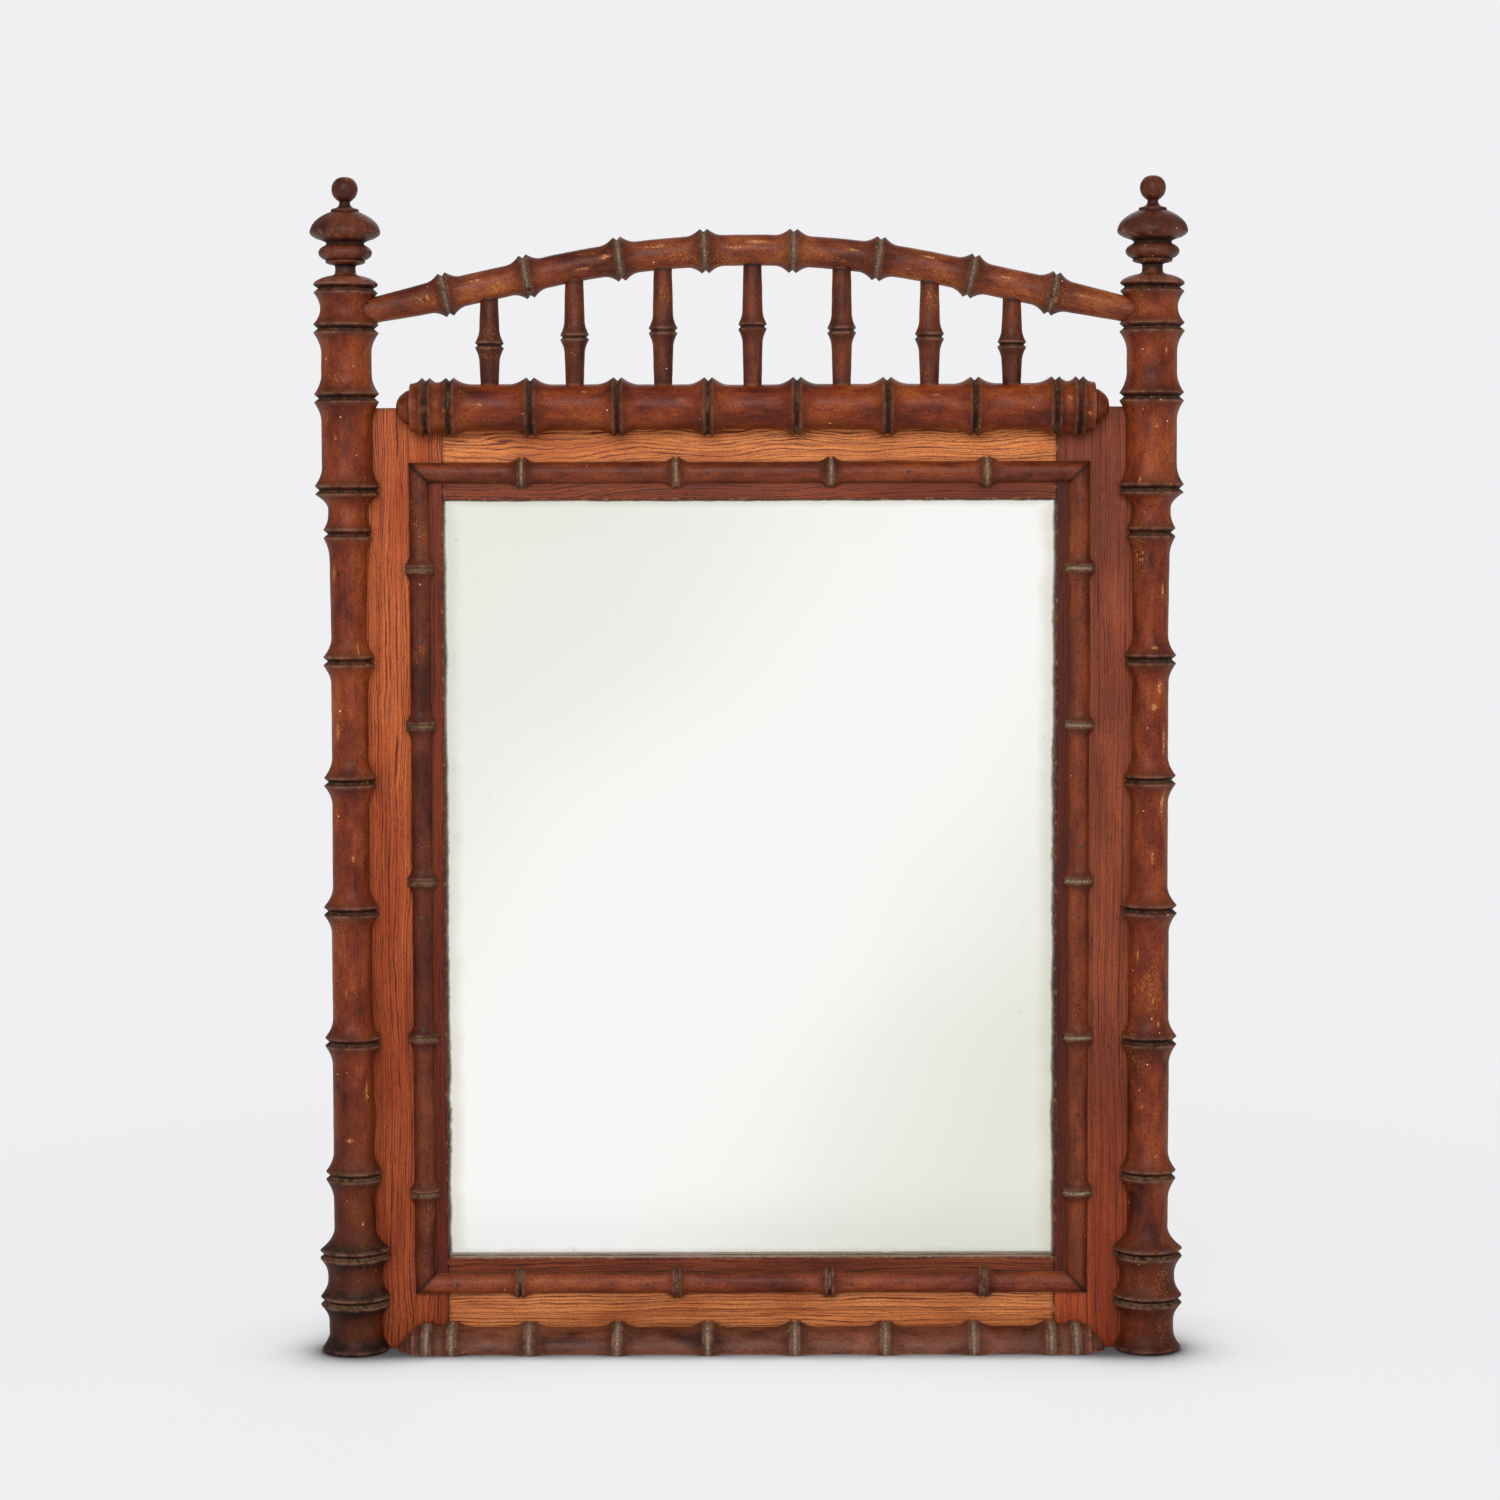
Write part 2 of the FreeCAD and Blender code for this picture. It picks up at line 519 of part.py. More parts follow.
# ---------------------------------------------------------------- screw eyes and rings
ring_y = BACK + RING_OFF
for side, sx in (("left", -1), ("right", 1)):
    x0 = sx * HANG_X
    eye = peg(Vector(x0 - EYE_T / 2, ring_y, HANG_Z), Vector(1, 0, 0), EYE_T, EYE_R)
    rim = [e for e in eye.Edges if abs(e.Length - 2 * math.pi * EYE_R) < 0.1]
    eye = eye.makeFillet(1.2, rim)
    collar = peg(Vector(x0, BACK, HANG_Z), BACKWARD, 1.2, 3.4)
    shank = peg(Vector(x0, BACK - EYE_SHANK_L, HANG_Z), BACKWARD,
                EYE_SHANK_L + RING_OFF - 2.5, EYE_SHANK_R)
    eye = eye.fuse(collar).fuse(shank)
    eye = eye.cut(peg(Vector(x0 - 10, ring_y, HANG_Z), Vector(1, 0, 0), 20, RING_WIRE_R + FIT))
    nodes["hanger_eye_" + side] = eye.removeSplitter()
    nodes["stile_" + side] = nodes["stile_" + side].cut(
        peg(Vector(x0, BACK - EYE_SHANK_L - 0.5, HANG_Z), BACKWARD, EYE_SHANK_L + 1, EYE_SHANK_R + FIT))

    w, c, drop = RING_HALF_W, RING_CORNER, RING_DROP

    def at(dx, dz):
        return Vector(x0 + dx, ring_y, HANG_Z + dz)

    q = c * (1 - math.sqrt(0.5))
    zc = -(drop - w)
    edges = [
        Part.LineSegment(at(-w + c, 0), at(w - c, 0)).toShape(),
        Part.Arc(at(w - c, 0), at(w - q, -q), at(w, -c)).toShape(),
        Part.LineSegment(at(w, -c), at(w, zc)).toShape(),
        Part.Arc(at(w, zc), at(0, -drop), at(-w, zc)).toShape(),
        Part.LineSegment(at(-w, zc), at(-w, -c)).toShape(),
        Part.Arc(at(-w, -c), at(-w + q, -q), at(-w + c, 0)).toShape()]
    path = Part.Wire(edges)
    section = Part.Wire([Part.makeCircle(RING_WIRE_R, at(-w + c, 0), Vector(1, 0, 0))])
    nodes["hanger_ring_" + side] = path.makePipeShell([section], True, True)

# ---------------------------------------------------------------- export
for name in sorted(nodes):
    shape = nodes[name]
    shape = shape.copy()
    shape.translate(Vector(0, SHIFT_Y, 0))
    solids = shape.Solids
    if len(solids) == 1:
        shape = solids[0]
    else:
        shape = Part.makeCompound(solids)
    bb = shape.BoundBox
    print("%-20s solids %2d  volume %10.1f  valid %s  x %.1f %.1f  y %.2f %.2f  z %.1f %.1f" % (
        name, len(solids), shape.Volume, shape.isValid(),
        bb.XMin, bb.XMax, bb.YMin, bb.YMax, bb.ZMin, bb.ZMax))
    shape.exportStep("parts/%s.step" % name)
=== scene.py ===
import math

import bmesh
import bpy
import numpy as np
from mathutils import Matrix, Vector


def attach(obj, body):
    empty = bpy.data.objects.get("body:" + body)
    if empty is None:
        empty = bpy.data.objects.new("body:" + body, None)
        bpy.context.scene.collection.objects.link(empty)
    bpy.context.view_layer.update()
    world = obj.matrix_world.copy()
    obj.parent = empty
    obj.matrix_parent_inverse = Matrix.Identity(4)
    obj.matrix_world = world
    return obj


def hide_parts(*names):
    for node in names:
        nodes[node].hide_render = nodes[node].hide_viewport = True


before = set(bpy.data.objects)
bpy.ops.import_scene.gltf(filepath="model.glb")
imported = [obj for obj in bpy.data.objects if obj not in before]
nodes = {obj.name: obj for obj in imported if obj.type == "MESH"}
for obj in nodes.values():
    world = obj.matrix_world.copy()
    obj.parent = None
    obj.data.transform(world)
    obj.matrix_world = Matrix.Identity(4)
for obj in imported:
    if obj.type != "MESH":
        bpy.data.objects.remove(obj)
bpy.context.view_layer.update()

# Faux bamboo wall mirror.  Lengths below are millimetres in the frame of the construction
# (x across, z up, the face of the boards at y = SHIFT_Y, the mirror faces -y).
MM = 0.001
SHIFT_Y = 0.3

BOARD_T, SIGHT_X, SIGHT_Z0, SIGHT_Z1 = 25.0, 276.0, 84.0, 773.0
FRAME_TOP, STILE_OUT_X, LIP_T, LEDGE = 856.0, 371.5, 10.0, 18.0
AXIS_X, AXIS_Y, GALLERY_Y = 360.5, -6.0, -10.0

POST_LIP_HALF, POST_V = 3.6, 4.2
POST_RINGS = [(47.0, 31.5), (89.9, 31.7), (161.7, 25.6), (284.0, 25.3), (403.2, 25.1), (520.3, 23.8),
              (629.0, 23.3), (743.2, 22.0), (782.3, 29.2), (864.5, 28.9), (926.3, 29.2), (962.0, 28.7)]
POST_WAISTS = [(24.0, 24.0), (24.7, 24.7), (18.6, 18.6), (18.5, 18.6), (17.9, 17.9), (16.7, 16.6),
               (16.4, 16.4), (15.8, 16.7), (17.4, 17.4), (22.6, 22.6), (22.4, 22.4), (22.9, 22.9)]
POST_FLARES = [16.0, 16.0, 20.0, 18.0, 18.0, 18.0, 18.0, 18.0, 14.0, 18.0, 18.0, 14.0]
POST_TOP_Z = 973.5
FINIAL = [(973.5, 12.4), (974.6, 10.4), (975.8, 9.4), (979.3, 9.1), (981.9, 9.3), (982.9, 10.8), (983.5, 14.4), (984.4, 17.0),
          (985.6, 17.9), (986.7, 17.8), (987.1, 17.2), (987.6, 18.4), (988.6, 20.6), (990.6, 22.9), (993.0, 24.0), (995.4, 23.7),
          (997.6, 22.3), (999.2, 20.2), (1000.2, 17.9), (1001.2, 16.9), (1002.2, 16.8), (1003.1, 17.5), (1004.3, 19.8),
          (1005.6, 23.4), (1006.5, 26.5), (1007.3, 27.2), (1007.9, 28.7), (1009.4, 30.6), (1010.8, 31.4), (1012.2, 31.6),
          (1014.0, 31.2), (1016.6, 30.3), (1019.2, 28.9), (1021.9, 26.6), (1024.5, 23.5), (1027.2, 19.2), (1029.2, 15.0),
          (1029.8, 12.9), (1030.5, 12.5), (1032.0, 12.4), (1032.7, 11.4), (1033.4, 8.4), (1034.4, 6.4), (1036.2, 5.0),
          (1038.3, 4.6), (1039.4, 5.2), (1040.5, 6.9), (1043.1, 9.6), (1045.8, 10.9), (1048.5, 11.6), (1051.1, 11.6),
          (1053.8, 11.1), (1056.4, 9.8), (1058.9, 7.6), (1060.2, 5.2), (1060.7, 3.4), (1060.8, 0.4)]

CREST_R, CREST_APEX_Z, CREST_ARC_X = 848.0, 995.3, 178.6
CREST_NODES = [39.5, 115.5, 198.3, 270.7]
CREST_END_X, CREST_LIP, CREST_LIP_HALF, CREST_V = 349.5, 19.8, 3.3, 2.8
CREST_WAIST, CREST_FLARE, CREST_TENON, CREST_END_R = 13.8, 13.0, 19.0, 11.6

GALLERY_X = 3.0
GALLERY_NODES = [39.6, 120.5, 198.5, 270.8, 292.0]
BASE_NODES = [39.5, 121.5, 201.8, 272.1, 294.9]
RAIL_LIP, RAIL_LIP_HALF, RAIL_V, RAIL_FLARE = 26.7, 3.5, 3.4, 16.0
RAIL_WAISTS = [19.9, 20.2, 20.4, 20.8, 22.4]
RAIL_END = [(5.4, 24.6), (7.4, 22.8), (10.5, 21.8), (14.0, 21.4), (14.0, 15.7), (17.6, 15.0), (20.6, 12.8),
            (23.8, 9.9), (26.0, 6.3), (26.8, 3.0)]

SPINDLE_X = [-232.0, -156.0, -76.8, 3.1, 82.8, 161.3, 234.6]
SPINDLE_NODE_Z = [910.9, 918.2, 923.8, 927.3, 923.8, 918.2, 910.9]
SPINDLE_R, SPINDLE_BODY, SPINDLE_LIP, SPINDLE_LIP_HALF, SPINDLE_V, SPINDLE_FLARE = 8.2, 9.1, 13.0, 2.2, 2.4, 13.0

MOULD_X, MOULD_TOP_Z, MOULD_BOT_Z = 296.8, 797.8, 60.6
MOULD_R, MOULD_LIP, MOULD_LIP_HALF, MOULD_V, MOULD_FLARE = 9.4, 14.2, 2.6, 2.4, 11.0
MOULD_TOP_NODES = [-204.5, -66.0, 73.2, 213.0]
MOULD_BOT_NODES = [-210.0, -67.4, 71.3, 211.6]
MOULD_SIDE_NODES = [144.0, 286.4, 428.8, 570.2, 711.4]
PIN_TOP_X = [-273.0, -97.4, -38.3, 142.5, 267.0]
PIN_BOT_X = [-267.0, -94.1, 91.6, 268.0]
PIN_SIDE_Z = [92.0, 216.0, 396.0, 460.0, 647.0, 773.0]

POST_SCREW_Z = [118.0, 345.0, 575.0, 821.0]
RAIL_SCREW_X = [-240.0, -82.0, 82.0, 240.0]
NAIL_X = 288.0
PLANK_Z = [68.5, 300.5, 546.5, 788.5]


# ------------------------------------------------------------------ small numeric helpers
def waves(p, size, seed, n=26):
    """Smooth random field of unit deviation over points p (mm); size is the width of its spots in mm."""
    g = np.random.default_rng(seed)
    d = g.normal(size=(n, 3))
    d /= np.linalg.norm(d, axis=1)[:, None]
    k = math.pi / size * g.uniform(0.55, 1.35, n)
    ph = g.uniform(0, 2 * math.pi, n)
    out = np.zeros(p.shape[:-1])
    for i in range(n):
        out += np.sin((p @ d[i]) * k[i] + ph[i])
    return out / math.sqrt(n / 2)


def ease(x, a, b):
    s = np.clip((x - a) / (b - a), 0, 1)
    return s * s * (3 - 2 * s)


def smooth_line(points, step=0.2, sigma=0.24, tol=0.012, far=6.0):
    """A turned outline: (distance along the axis, radius) points, with corners eased as a tool leaves them."""
    p = np.asarray(points, float)
    seg = np.hypot(np.diff(p[:, 0]), np.diff(p[:, 1]))
    p = p[np.concatenate([[True], seg > 1e-9])]
    seg = seg[seg > 1e-9]
    run = np.concatenate([[0], np.cumsum(seg)])
    n = max(12, int(run[-1] / step) + 1)
    u = np.linspace(0, run[-1], n)
    q = np.stack([np.interp(u, run, p[:, 0]), np.interp(u, run, p[:, 1])], 1)
    h = max(1, int(3 * sigma / (u[1] - u[0])))
    k = np.exp(-0.5 * ((np.arange(-h, h + 1) * (u[1] - u[0])) / sigma) ** 2)
    k /= k.sum()
    pad = np.concatenate([2 * q[0] - q[h:0:-1], q, 2 * q[-1] - q[-2:-h - 2:-1]])
    q = np.stack([np.convolve(pad[:, i], k, "valid") for i in (0, 1)], 1)
    kept, stack = {0, n - 1}, [(0, n - 1)]
    while stack:
        a, b = stack.pop()
        if b - a < 2:
            continue
        d = q[b] - q[a]
        length = math.hypot(d[0], d[1])
        m = q[a + 1:b] - q[a]
        off = np.abs(m[:, 0] * d[1] - m[:, 1] * d[0]) / length if length > 1e-9 else np.hypot(m[:, 0], m[:, 1])
        i = int(off.argmax())
        if off[i] > tol:
            c = a + 1 + i
        elif length > far:
            c = (a + b) // 2
        else:
            continue
        kept.add(c)
        stack += [(a, c), (c, b)]
    q = q[sorted(kept)]
    return q[:, 0].copy(), q[:, 1].copy()


def blurred(t, r, sigma):
    """The outline's radius averaged over a width along the axis, to tell hollows from ridges."""
    g = np.linspace(t.min(), t.max(), max(64, int((t.max() - t.min()) / 0.4)))
    o = np.argsort(t)
    v = np.interp(g, t[o], r[o])
    h = int(3 * sigma / (g[1] - g[0]))
    k = np.exp(-0.5 * ((np.arange(-h, h + 1) * (g[1] - g[0])) / sigma) ** 2)
    v = np.convolve(np.pad(v, h, mode="edge"), k / k.sum(), "valid")
    return np.interp(t, g, v)


# ------------------------------------------------------------------ meshes
def finish_mesh(me, name, mat, sharp):
    me.polygons.foreach_set("use_smooth", np.ones(len(me.polygons), bool))
    me.set_sharp_from_angle(angle=math.radians(sharp))
    me.materials.append(mat)
    me.update()
    ob = bpy.data.objects.new(name, me)
    bpy.context.scene.collection.objects.link(ob)
    return ob


def put_attributes(me, attrs):
    for key, val in attrs.items():
        val = np.asarray(val, np.float32)
        if val.ndim == 2:
            me.attributes.new(key, "FLOAT_VECTOR", "POINT").data.foreach_set("vector", val.ravel())
        else:
            me.attributes.new(key, "FLOAT", "POINT").data.foreach_set("value", val.ravel())


def grid_mesh(name, p, attrs, mat, sharp=48, weld=False):
    """Closed skin over rows of points p[row, column], the columns running round, with a fan at each end."""
    rows, cols = p.shape[:2]
    verts = np.concatenate([p.reshape(-1, 3), p[0].mean(0)[None], p[-1].mean(0)[None]]) * MM
    i, j = np.meshgrid(np.arange(rows - 1), np.arange(cols), indexing="ij")
    i, j = i.ravel(), j.ravel()
    k = (j + 1) % cols
    quads = np.stack([i * cols + j, i * cols + k, (i + 1) * cols + k, (i + 1) * cols + j], 1)
    e = np.arange(cols)
    n = (e + 1) % cols
    first = np.stack([np.full(cols, rows * cols), n, e], 1)
    last = np.stack([np.full(cols, rows * cols + 1), (rows - 1) * cols + e, (rows - 1) * cols + n], 1)
    v = verts[quads]
    a = np.cross(v[:, 1] - v[:, 0], v[:, 2] - v[:, 0])
    b = np.cross(v[:, 2] - v[:, 0], v[:, 3] - v[:, 0])
    volume = ((a + b) * v.mean(1)).sum()
    flip = volume < 0
    # texture places: the skin unrolled, folded into strips side by side
    step = np.linalg.norm(np.diff(p, axis=0), axis=2).max(1)
    run = np.concatenate([[0], np.cumsum(np.maximum(step, 1e-6))])
    round_ = np.linalg.norm(np.roll(p, -1, 1) - p, axis=2)
    round_ = round_[round_.sum(1).argmax()]
    around = np.concatenate([[0], np.cumsum(round_)])
    strips = max(1, int(round(math.sqrt(run[-1] / around[-1]))))
    along, around = run / run[-1], around / around[-1]
    which = np.minimum((along[:-1] * strips).astype(int), strips - 1)
    lo = np.array([along[:-1][which == s].min() for s in range(strips)])
    hi = np.array([along[1:][which == s].max() for s in range(strips)])
    w = which[i]
    uu = np.stack([around[j], around[j + 1], around[j + 1], around[j]], 1)
    vv = np.stack([along[i], along[i], along[i + 1], along[i + 1]], 1)
    uu = (w[:, None] + 0.01 + 0.98 * uu) / strips
    vv = 0.005 + 0.945 * (vv - lo[w][:, None]) / (hi - lo)[w][:, None]
    quad_uv = np.stack([uu, vv], 2)
    ring = 2 * math.pi * np.arange(cols + 1) / cols
    fan_uv = []
    for centre in (0.03, 0.08):
        c = np.stack([np.full(cols, centre), np.full(cols, 0.977)], 1)
        q = np.stack([centre + 0.02 * np.cos(ring), 0.977 + 0.02 * np.sin(ring)], 1)
        fan_uv.append((c, q))
    f0 = np.stack([fan_uv[0][0], fan_uv[0][1][1:], fan_uv[0][1][:-1]], 1)
    f1 = np.stack([fan_uv[1][0], fan_uv[1][1][:-1], fan_uv[1][1][1:]], 1)
    tris, tri_uv = np.concatenate([first, last]), np.concatenate([f0, f1])
    if flip:
        quads, quad_uv, tris, tri_uv = quads[:, ::-1], quad_uv[:, ::-1], tris[:, ::-1], tri_uv[:, ::-1]
    me = bpy.data.meshes.new(name)
    me.from_pydata(verts.tolist(), [], quads.tolist() + tris.tolist())
    layer = me.uv_layers.new(name="OFBake")
    layer.uv.foreach_set("vector", np.concatenate([quad_uv.reshape(-1, 2), tri_uv.reshape(-1, 2)]).astype(np.float32).ravel())
    full = {}
    for key, val in attrs.items():
        val = np.asarray(val, float)
        flat = val.reshape(rows * cols, -1)
        flat = np.concatenate([flat, val[0].reshape(cols, -1).mean(0)[None], val[-1].reshape(cols, -1).mean(0)[None]])
        full[key] = flat[:, 0] if flat.shape[1] == 1 else flat
    put_attributes(me, full)
    if weld:
        bm = bmesh.new()
        bm.from_mesh(me)
        bmesh.ops.remove_doubles(bm, verts=bm.verts, dist=2e-6)
        bmesh.ops.dissolve_degenerate(bm, edges=bm.edges, dist=2e-6)
        bm.to_mesh(me)
        bm.free()
    return finish_mesh(me, name, mat, sharp)


def section(kind, r, d, cols):
    """Cross section of a turned piece for each row's radius r: (forward, sideways, True where it is on the arc).
    flat is cut off a distance d behind the axis, notch also only below it, quarter also below the axis."""
    r = r[:, None]
    dd = np.minimum(d, 0.97 * r)
    pc = np.arccos(-dd / r)
    w = np.sqrt(r * r - dd * dd)
    if kind == "round":
        a = -math.pi + 2 * math.pi * np.arange(cols)[None] / cols
        return r * np.cos(a), r * np.sin(a), np.ones((len(r), cols), bool)
    if kind in ("flat", "flat_full"):
        c2 = max(6, int(cols * 0.2))
        c1 = cols - c2
        a = -pc + 2 * pc * np.arange(c1)[None] / (c1 - 1)
        k = (np.arange(c2)[None] + 1) / (c2 + 1)
        if kind == "flat":
            f2, s2 = -dd + 0 * k, w * (1 - 2 * k)
        else:
            b = pc + (2 * math.pi - 2 * pc) * k
            f2, s2 = r * np.cos(b), r * np.sin(b)
        f, s = np.concatenate([r * np.cos(a), f2], 1), np.concatenate([r * np.sin(a), s2], 1)
        arc = np.concatenate([np.ones((len(r), c1), bool), np.full((len(r), c2), kind != "flat")], 1)
        return f, s, arc
    c2, c3 = max(5, cols // 9), max(4, cols // 12)
    c1 = cols - c2 - c3
    q = np.arange(c1)[None] / (c1 - 1)
    k2 = (np.arange(c2)[None] + 1) / c2
    k3 = (np.arange(c3)[None] + 1) / (c3 + 1)
    if kind == "notch":
        a = math.pi - (math.pi + pc) * q
        s2, f2 = -w * (1 - k2), -dd + 0 * k2
        f3, s3 = -dd - (r - dd) * k3, 0 * r * k3
    else:
        a = pc * q
        s2, f2 = w * (1 - k2), -dd + 0 * k2
        f3, s3 = -dd + (r + dd) * k3, 0 * r * k3
    f = np.concatenate([r * np.cos(a), f2, f3], 1)
    s = np.concatenate([r * np.sin(a), s2, s3], 1)
    arc = np.concatenate([np.ones((len(r), c1), bool), np.zeros((len(r), c2 + c3), bool)], 1)
    return f, s, arc


count = [0]


def turned(name, t, r, rings, frames, kind, d, cols, mat, body="frame", chips=0.5, ends=None, mitre=None,
           split=None, weld=False, wobble=1.0, touch=None, scars=(), flank_light=(0.0, 0.0),
           board_contact_shade=0.3, foot=0.0, inner=0, underside_shade=0.0):
    """One turned piece.  t, r is its outline; rings are (place, half width) of the double lips; frames gives
    each row's origin, axis, forward and side directions; split is the height above which a flat-backed piece
    is fully round; mitre bevels both ends; touch(points) is 1 where another piece meets this one."""
    count[0] += 1
    seed = 100 * count[0]
    if split is None:
        f, s, arc = section(kind, r, d, cols)
    else:
        at = int(np.searchsorted(t, split))
        rs = float(np.interp(split, t, r))
        t = np.concatenate([t[:at], [split, split], t[at:]])
        r = np.concatenate([r[:at], [rs, rs], r[at:]])
        fa, sa, aa = section("flat", r[:at + 1], d, cols)
        fb, sb, ab = section("flat_full", r[at + 1:], d, cols)
        f, s, arc = (np.concatenate(x) for x in ((fa, fb), (sa, sb), (aa, ab)))
    o, ax, fw, sd = frames(t)
    rows = len(t)
    far = np.hypot(f, s) + 1e-9
    local = np.stack([np.repeat(t[:, None], f.shape[1], 1), f, s], 2)
    slope = np.gradient(r, t + np.arange(rows) * 1e-7)
    # where on its double lip each row lies
    if rings:
        c = np.array([x[0] for x in rings])
        h = np.array([x[1] for x in rings])
        near = np.abs(t[:, None] - c[None]).argmin(1)
        rd, half = t - c[near], h[near]
    else:
        rd, half = np.full(rows, 1e3), np.full(rows, 3.0)
    out = np.abs(rd) - half
    lip = np.exp(-(out / 0.75) ** 2)
    vee = np.clip(1 - np.abs(rd) / half, 0, 1)
    flare = np.where(out > 0, np.exp(-np.maximum(out, 0) / 6.5), 0.0)
    hollow = blurred(t, r, 2.4) - r
    lip = np.maximum(lip, np.clip(-hollow / 1.6, 0, 1) * 0.8)[:, None] * np.ones_like(f)
    if kind == "quarter":
        lip = np.maximum(lip, np.where(arc, np.exp(-np.maximum(s, 0) / 0.9), 0.0))
    sink = np.clip(hollow / 1.5, 0, 1)
    # hand-turned unevenness, tool drift and knocks along the lips
    local_mm = local + np.array([seed * 1.37, seed * 0.11, -seed * 0.23])
    delta = 0.10 * wobble * waves(local_mm * np.array([0.25, 1, 1]), 26, seed + 1)
    delta += 0.05 * wobble * waves(local_mm, 8, seed + 2)
    knock = np.clip(waves(local_mm, 7.5, seed + 3) - (2.25 - 0.75 * chips), 0, 1.5)
    delta -= lip * (0.95 * knock + 0.16 * np.clip(waves(local_mm, 3.2, seed + 4), 0, 2) * chips)
    dent = np.clip(waves(local_mm, 6.5, seed + 5) - 2.1, 0, 1)
    delta -= 0.35 * dent * (1 - vee[:, None])
    delta = np.where(arc, delta, 0.0)
    f2, s2 = f + delta * f / far, s + delta * s / far
    if kind in ("flat", "notch", "quarter"):
        behind = np.minimum(d, 0.97 * r)[:, None]
        if kind == "flat":
            low = np.ones(rows, bool) if split is None else np.arange(rows) <= at
            f2 = np.where(low[:, None], np.maximum(f2, -behind), f2)
        elif kind == "quarter":
            f2, s2 = np.maximum(f2, -behind), np.maximum(s2, 0)
    # lips and vees of a hand tool are never quite square to the axis
    if rings:
        g = np.random.default_rng(seed + 9)
        lean = g.uniform(0.05, 0.32, len(rings)) * wobble
        turn = g.uniform(0, 2 * math.pi, len(rings))
        shift = lean[near][:, None] * np.cos(np.arctan2(s, f) - turn[near][:, None]) * np.exp(-(rd / 12.0) ** 2)[:, None]
    else:
        shift = np.zeros_like(f)
    tt = t[:, None] + shift
    if mitre:
        t0, t1, way = mitre
        tt = tt + way * s2 * np.clip((t[:, None] - (t1 - 26)) / 26, 0, 1) - way * s2 * np.clip(((t0 + 26) - t[:, None]) / 26, 0, 1)
    p = o[:, None] + ax[:, None] * (tt - t[:, None])[..., None] + fw[:, None] * f2[..., None] + sd[:, None] * s2[..., None]
    # outward direction, to know which hollows gather dust
    nr = 1 / np.sqrt(1 + slope ** 2)
    nt = -slope * nr
    up = (ax[:, 2] * nt)[:, None] + nr[:, None] * (fw[:, None, 2] * f / far + sd[:, None, 2] * s / far)
    flatness = np.where(arc, 1.0, 0.0)
    # grime and painted shade in the vees, on the flares beside the lips and in the hollows
    grime_and_shade = np.maximum(np.where(vee > 0, 0.84 + 0.16 * vee, 0.66 * flare), 0.9 * sink)[:, None] * flatness
    dust = (np.where(vee > 0, 0.4 + 0.6 * vee, 0.18 * flare) + 0.5 * sink)[:, None] * np.clip(0.25 + 0.95 * up, 0, 1) * flatness
    fill = ease(vee, 0.52, 0.80)[:, None] * flatness
    # the lip line: worn wood and a painted highlight in the shader
    worn = lip * np.where(out < 0, np.exp(-(out / 0.4) ** 2), 1.0)[:, None]
    contact = np.zeros_like(f)
    if kind in ("flat", "notch", "quarter"):
        gap = f + np.minimum(d, 0.97 * r)[:, None]
        contact = np.where(arc, np.exp(-np.maximum(gap, 0) / 0.9), 0.0)
        if kind == "notch":
            contact = np.where(s > 2.0, 0.0, contact)
        if split is not None:
            contact = np.where((np.arange(rows) <= at)[:, None], contact, 0.0)
    # painted contact shade: darker where the piece nears the board, on the posts only on the side towards the glass
    if kind in ("flat", "notch", "quarter"):
        grime_and_shade = np.maximum(grime_and_shade, np.where(arc & (contact > 0), board_contact_shade * np.exp(-np.maximum(gap, 0) / 9.0), 0.0)
                          * (ease(inner * s / far, -0.1, 0.7) if inner else 1.0))
    # painted shade on the underside of the piece
    if underside_shade:
        grime_and_shade = np.maximum(grime_and_shade, underside_shade * ease(-s / far, 0.2, 0.85) * flatness)
    if touch is not None:
        grime_and_shade = np.maximum(grime_and_shade, touch(p))
    # darker towards the foot of the post, most within 24 mm of the floor; more dust low down
    if foot:
        grime_and_shade = np.maximum(grime_and_shade, (foot * ease(t, 330.0, 40.0) * (0.75 + 0.9 * flare) + 0.5 * ease(t, 24.0, 2.0))[:, None] * flatness)
    if foot:
        dust = dust * (1 + 1.5 * ease(t, 300.0, 100.0))[:, None]
    if ends is not None:
        grime_and_shade = np.maximum(grime_and_shade, (np.exp(-np.abs(t - ends[0]) / 1.6) + np.exp(-np.abs(t - ends[1]) / 1.6))[:, None])
    phi = np.arctan2(s, f)
    scar, wear_and_flank_light = np.zeros_like(f), np.zeros_like(f)
    for t0, p0, half_t, half_w in scars:
        turn_by = np.angle(np.exp(1j * (phi - p0)))
        scar = np.maximum(scar, np.exp(-((t[:, None] - t0) / half_t) ** 2 - (turn_by * far / half_w) ** 2))
    # more lighter patches on one flank, the outer flank of each post: painted light
    wear_and_flank_light = np.maximum(flank_light[0] * ease(-s / far, 0.45, 0.92), flank_light[1] * ease(s / far, 0.45, 0.92)) * np.where(arc, 1.0, 0.0)
    axis = np.stack([local[..., 0] + 1731.0 * count[0], local[..., 1] + 37.0 * count[0], local[..., 2]], 2) * MM
    p = p + np.array([0, SHIFT_Y, 0])
    keep = lambda a: np.broadcast_to(a if a.ndim == 2 else a[:, None], f.shape)
    ob = grid_mesh(name, p, {"axis": axis, "grime_and_shade": keep(grime_and_shade), "dust": keep(dust), "lip": keep(worn), "contact": keep(contact),
                                "scar": keep(scar), "wear_and_flank_light": keep(wear_and_flank_light), "fill": keep(fill), "sawn": keep(1.0 - flatness)},
                   mat, weld=weld)
    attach(ob, body)
    return ob


def straight(origin, ax, fw, sd):
    origin, ax, fw, sd = (np.array(v, float) for v in (origin, ax, fw, sd))

    def at(t):
        one = np.ones((len(t), 1))
        return origin + t[:, None] * ax, ax * one, fw * one, sd * one
    return at


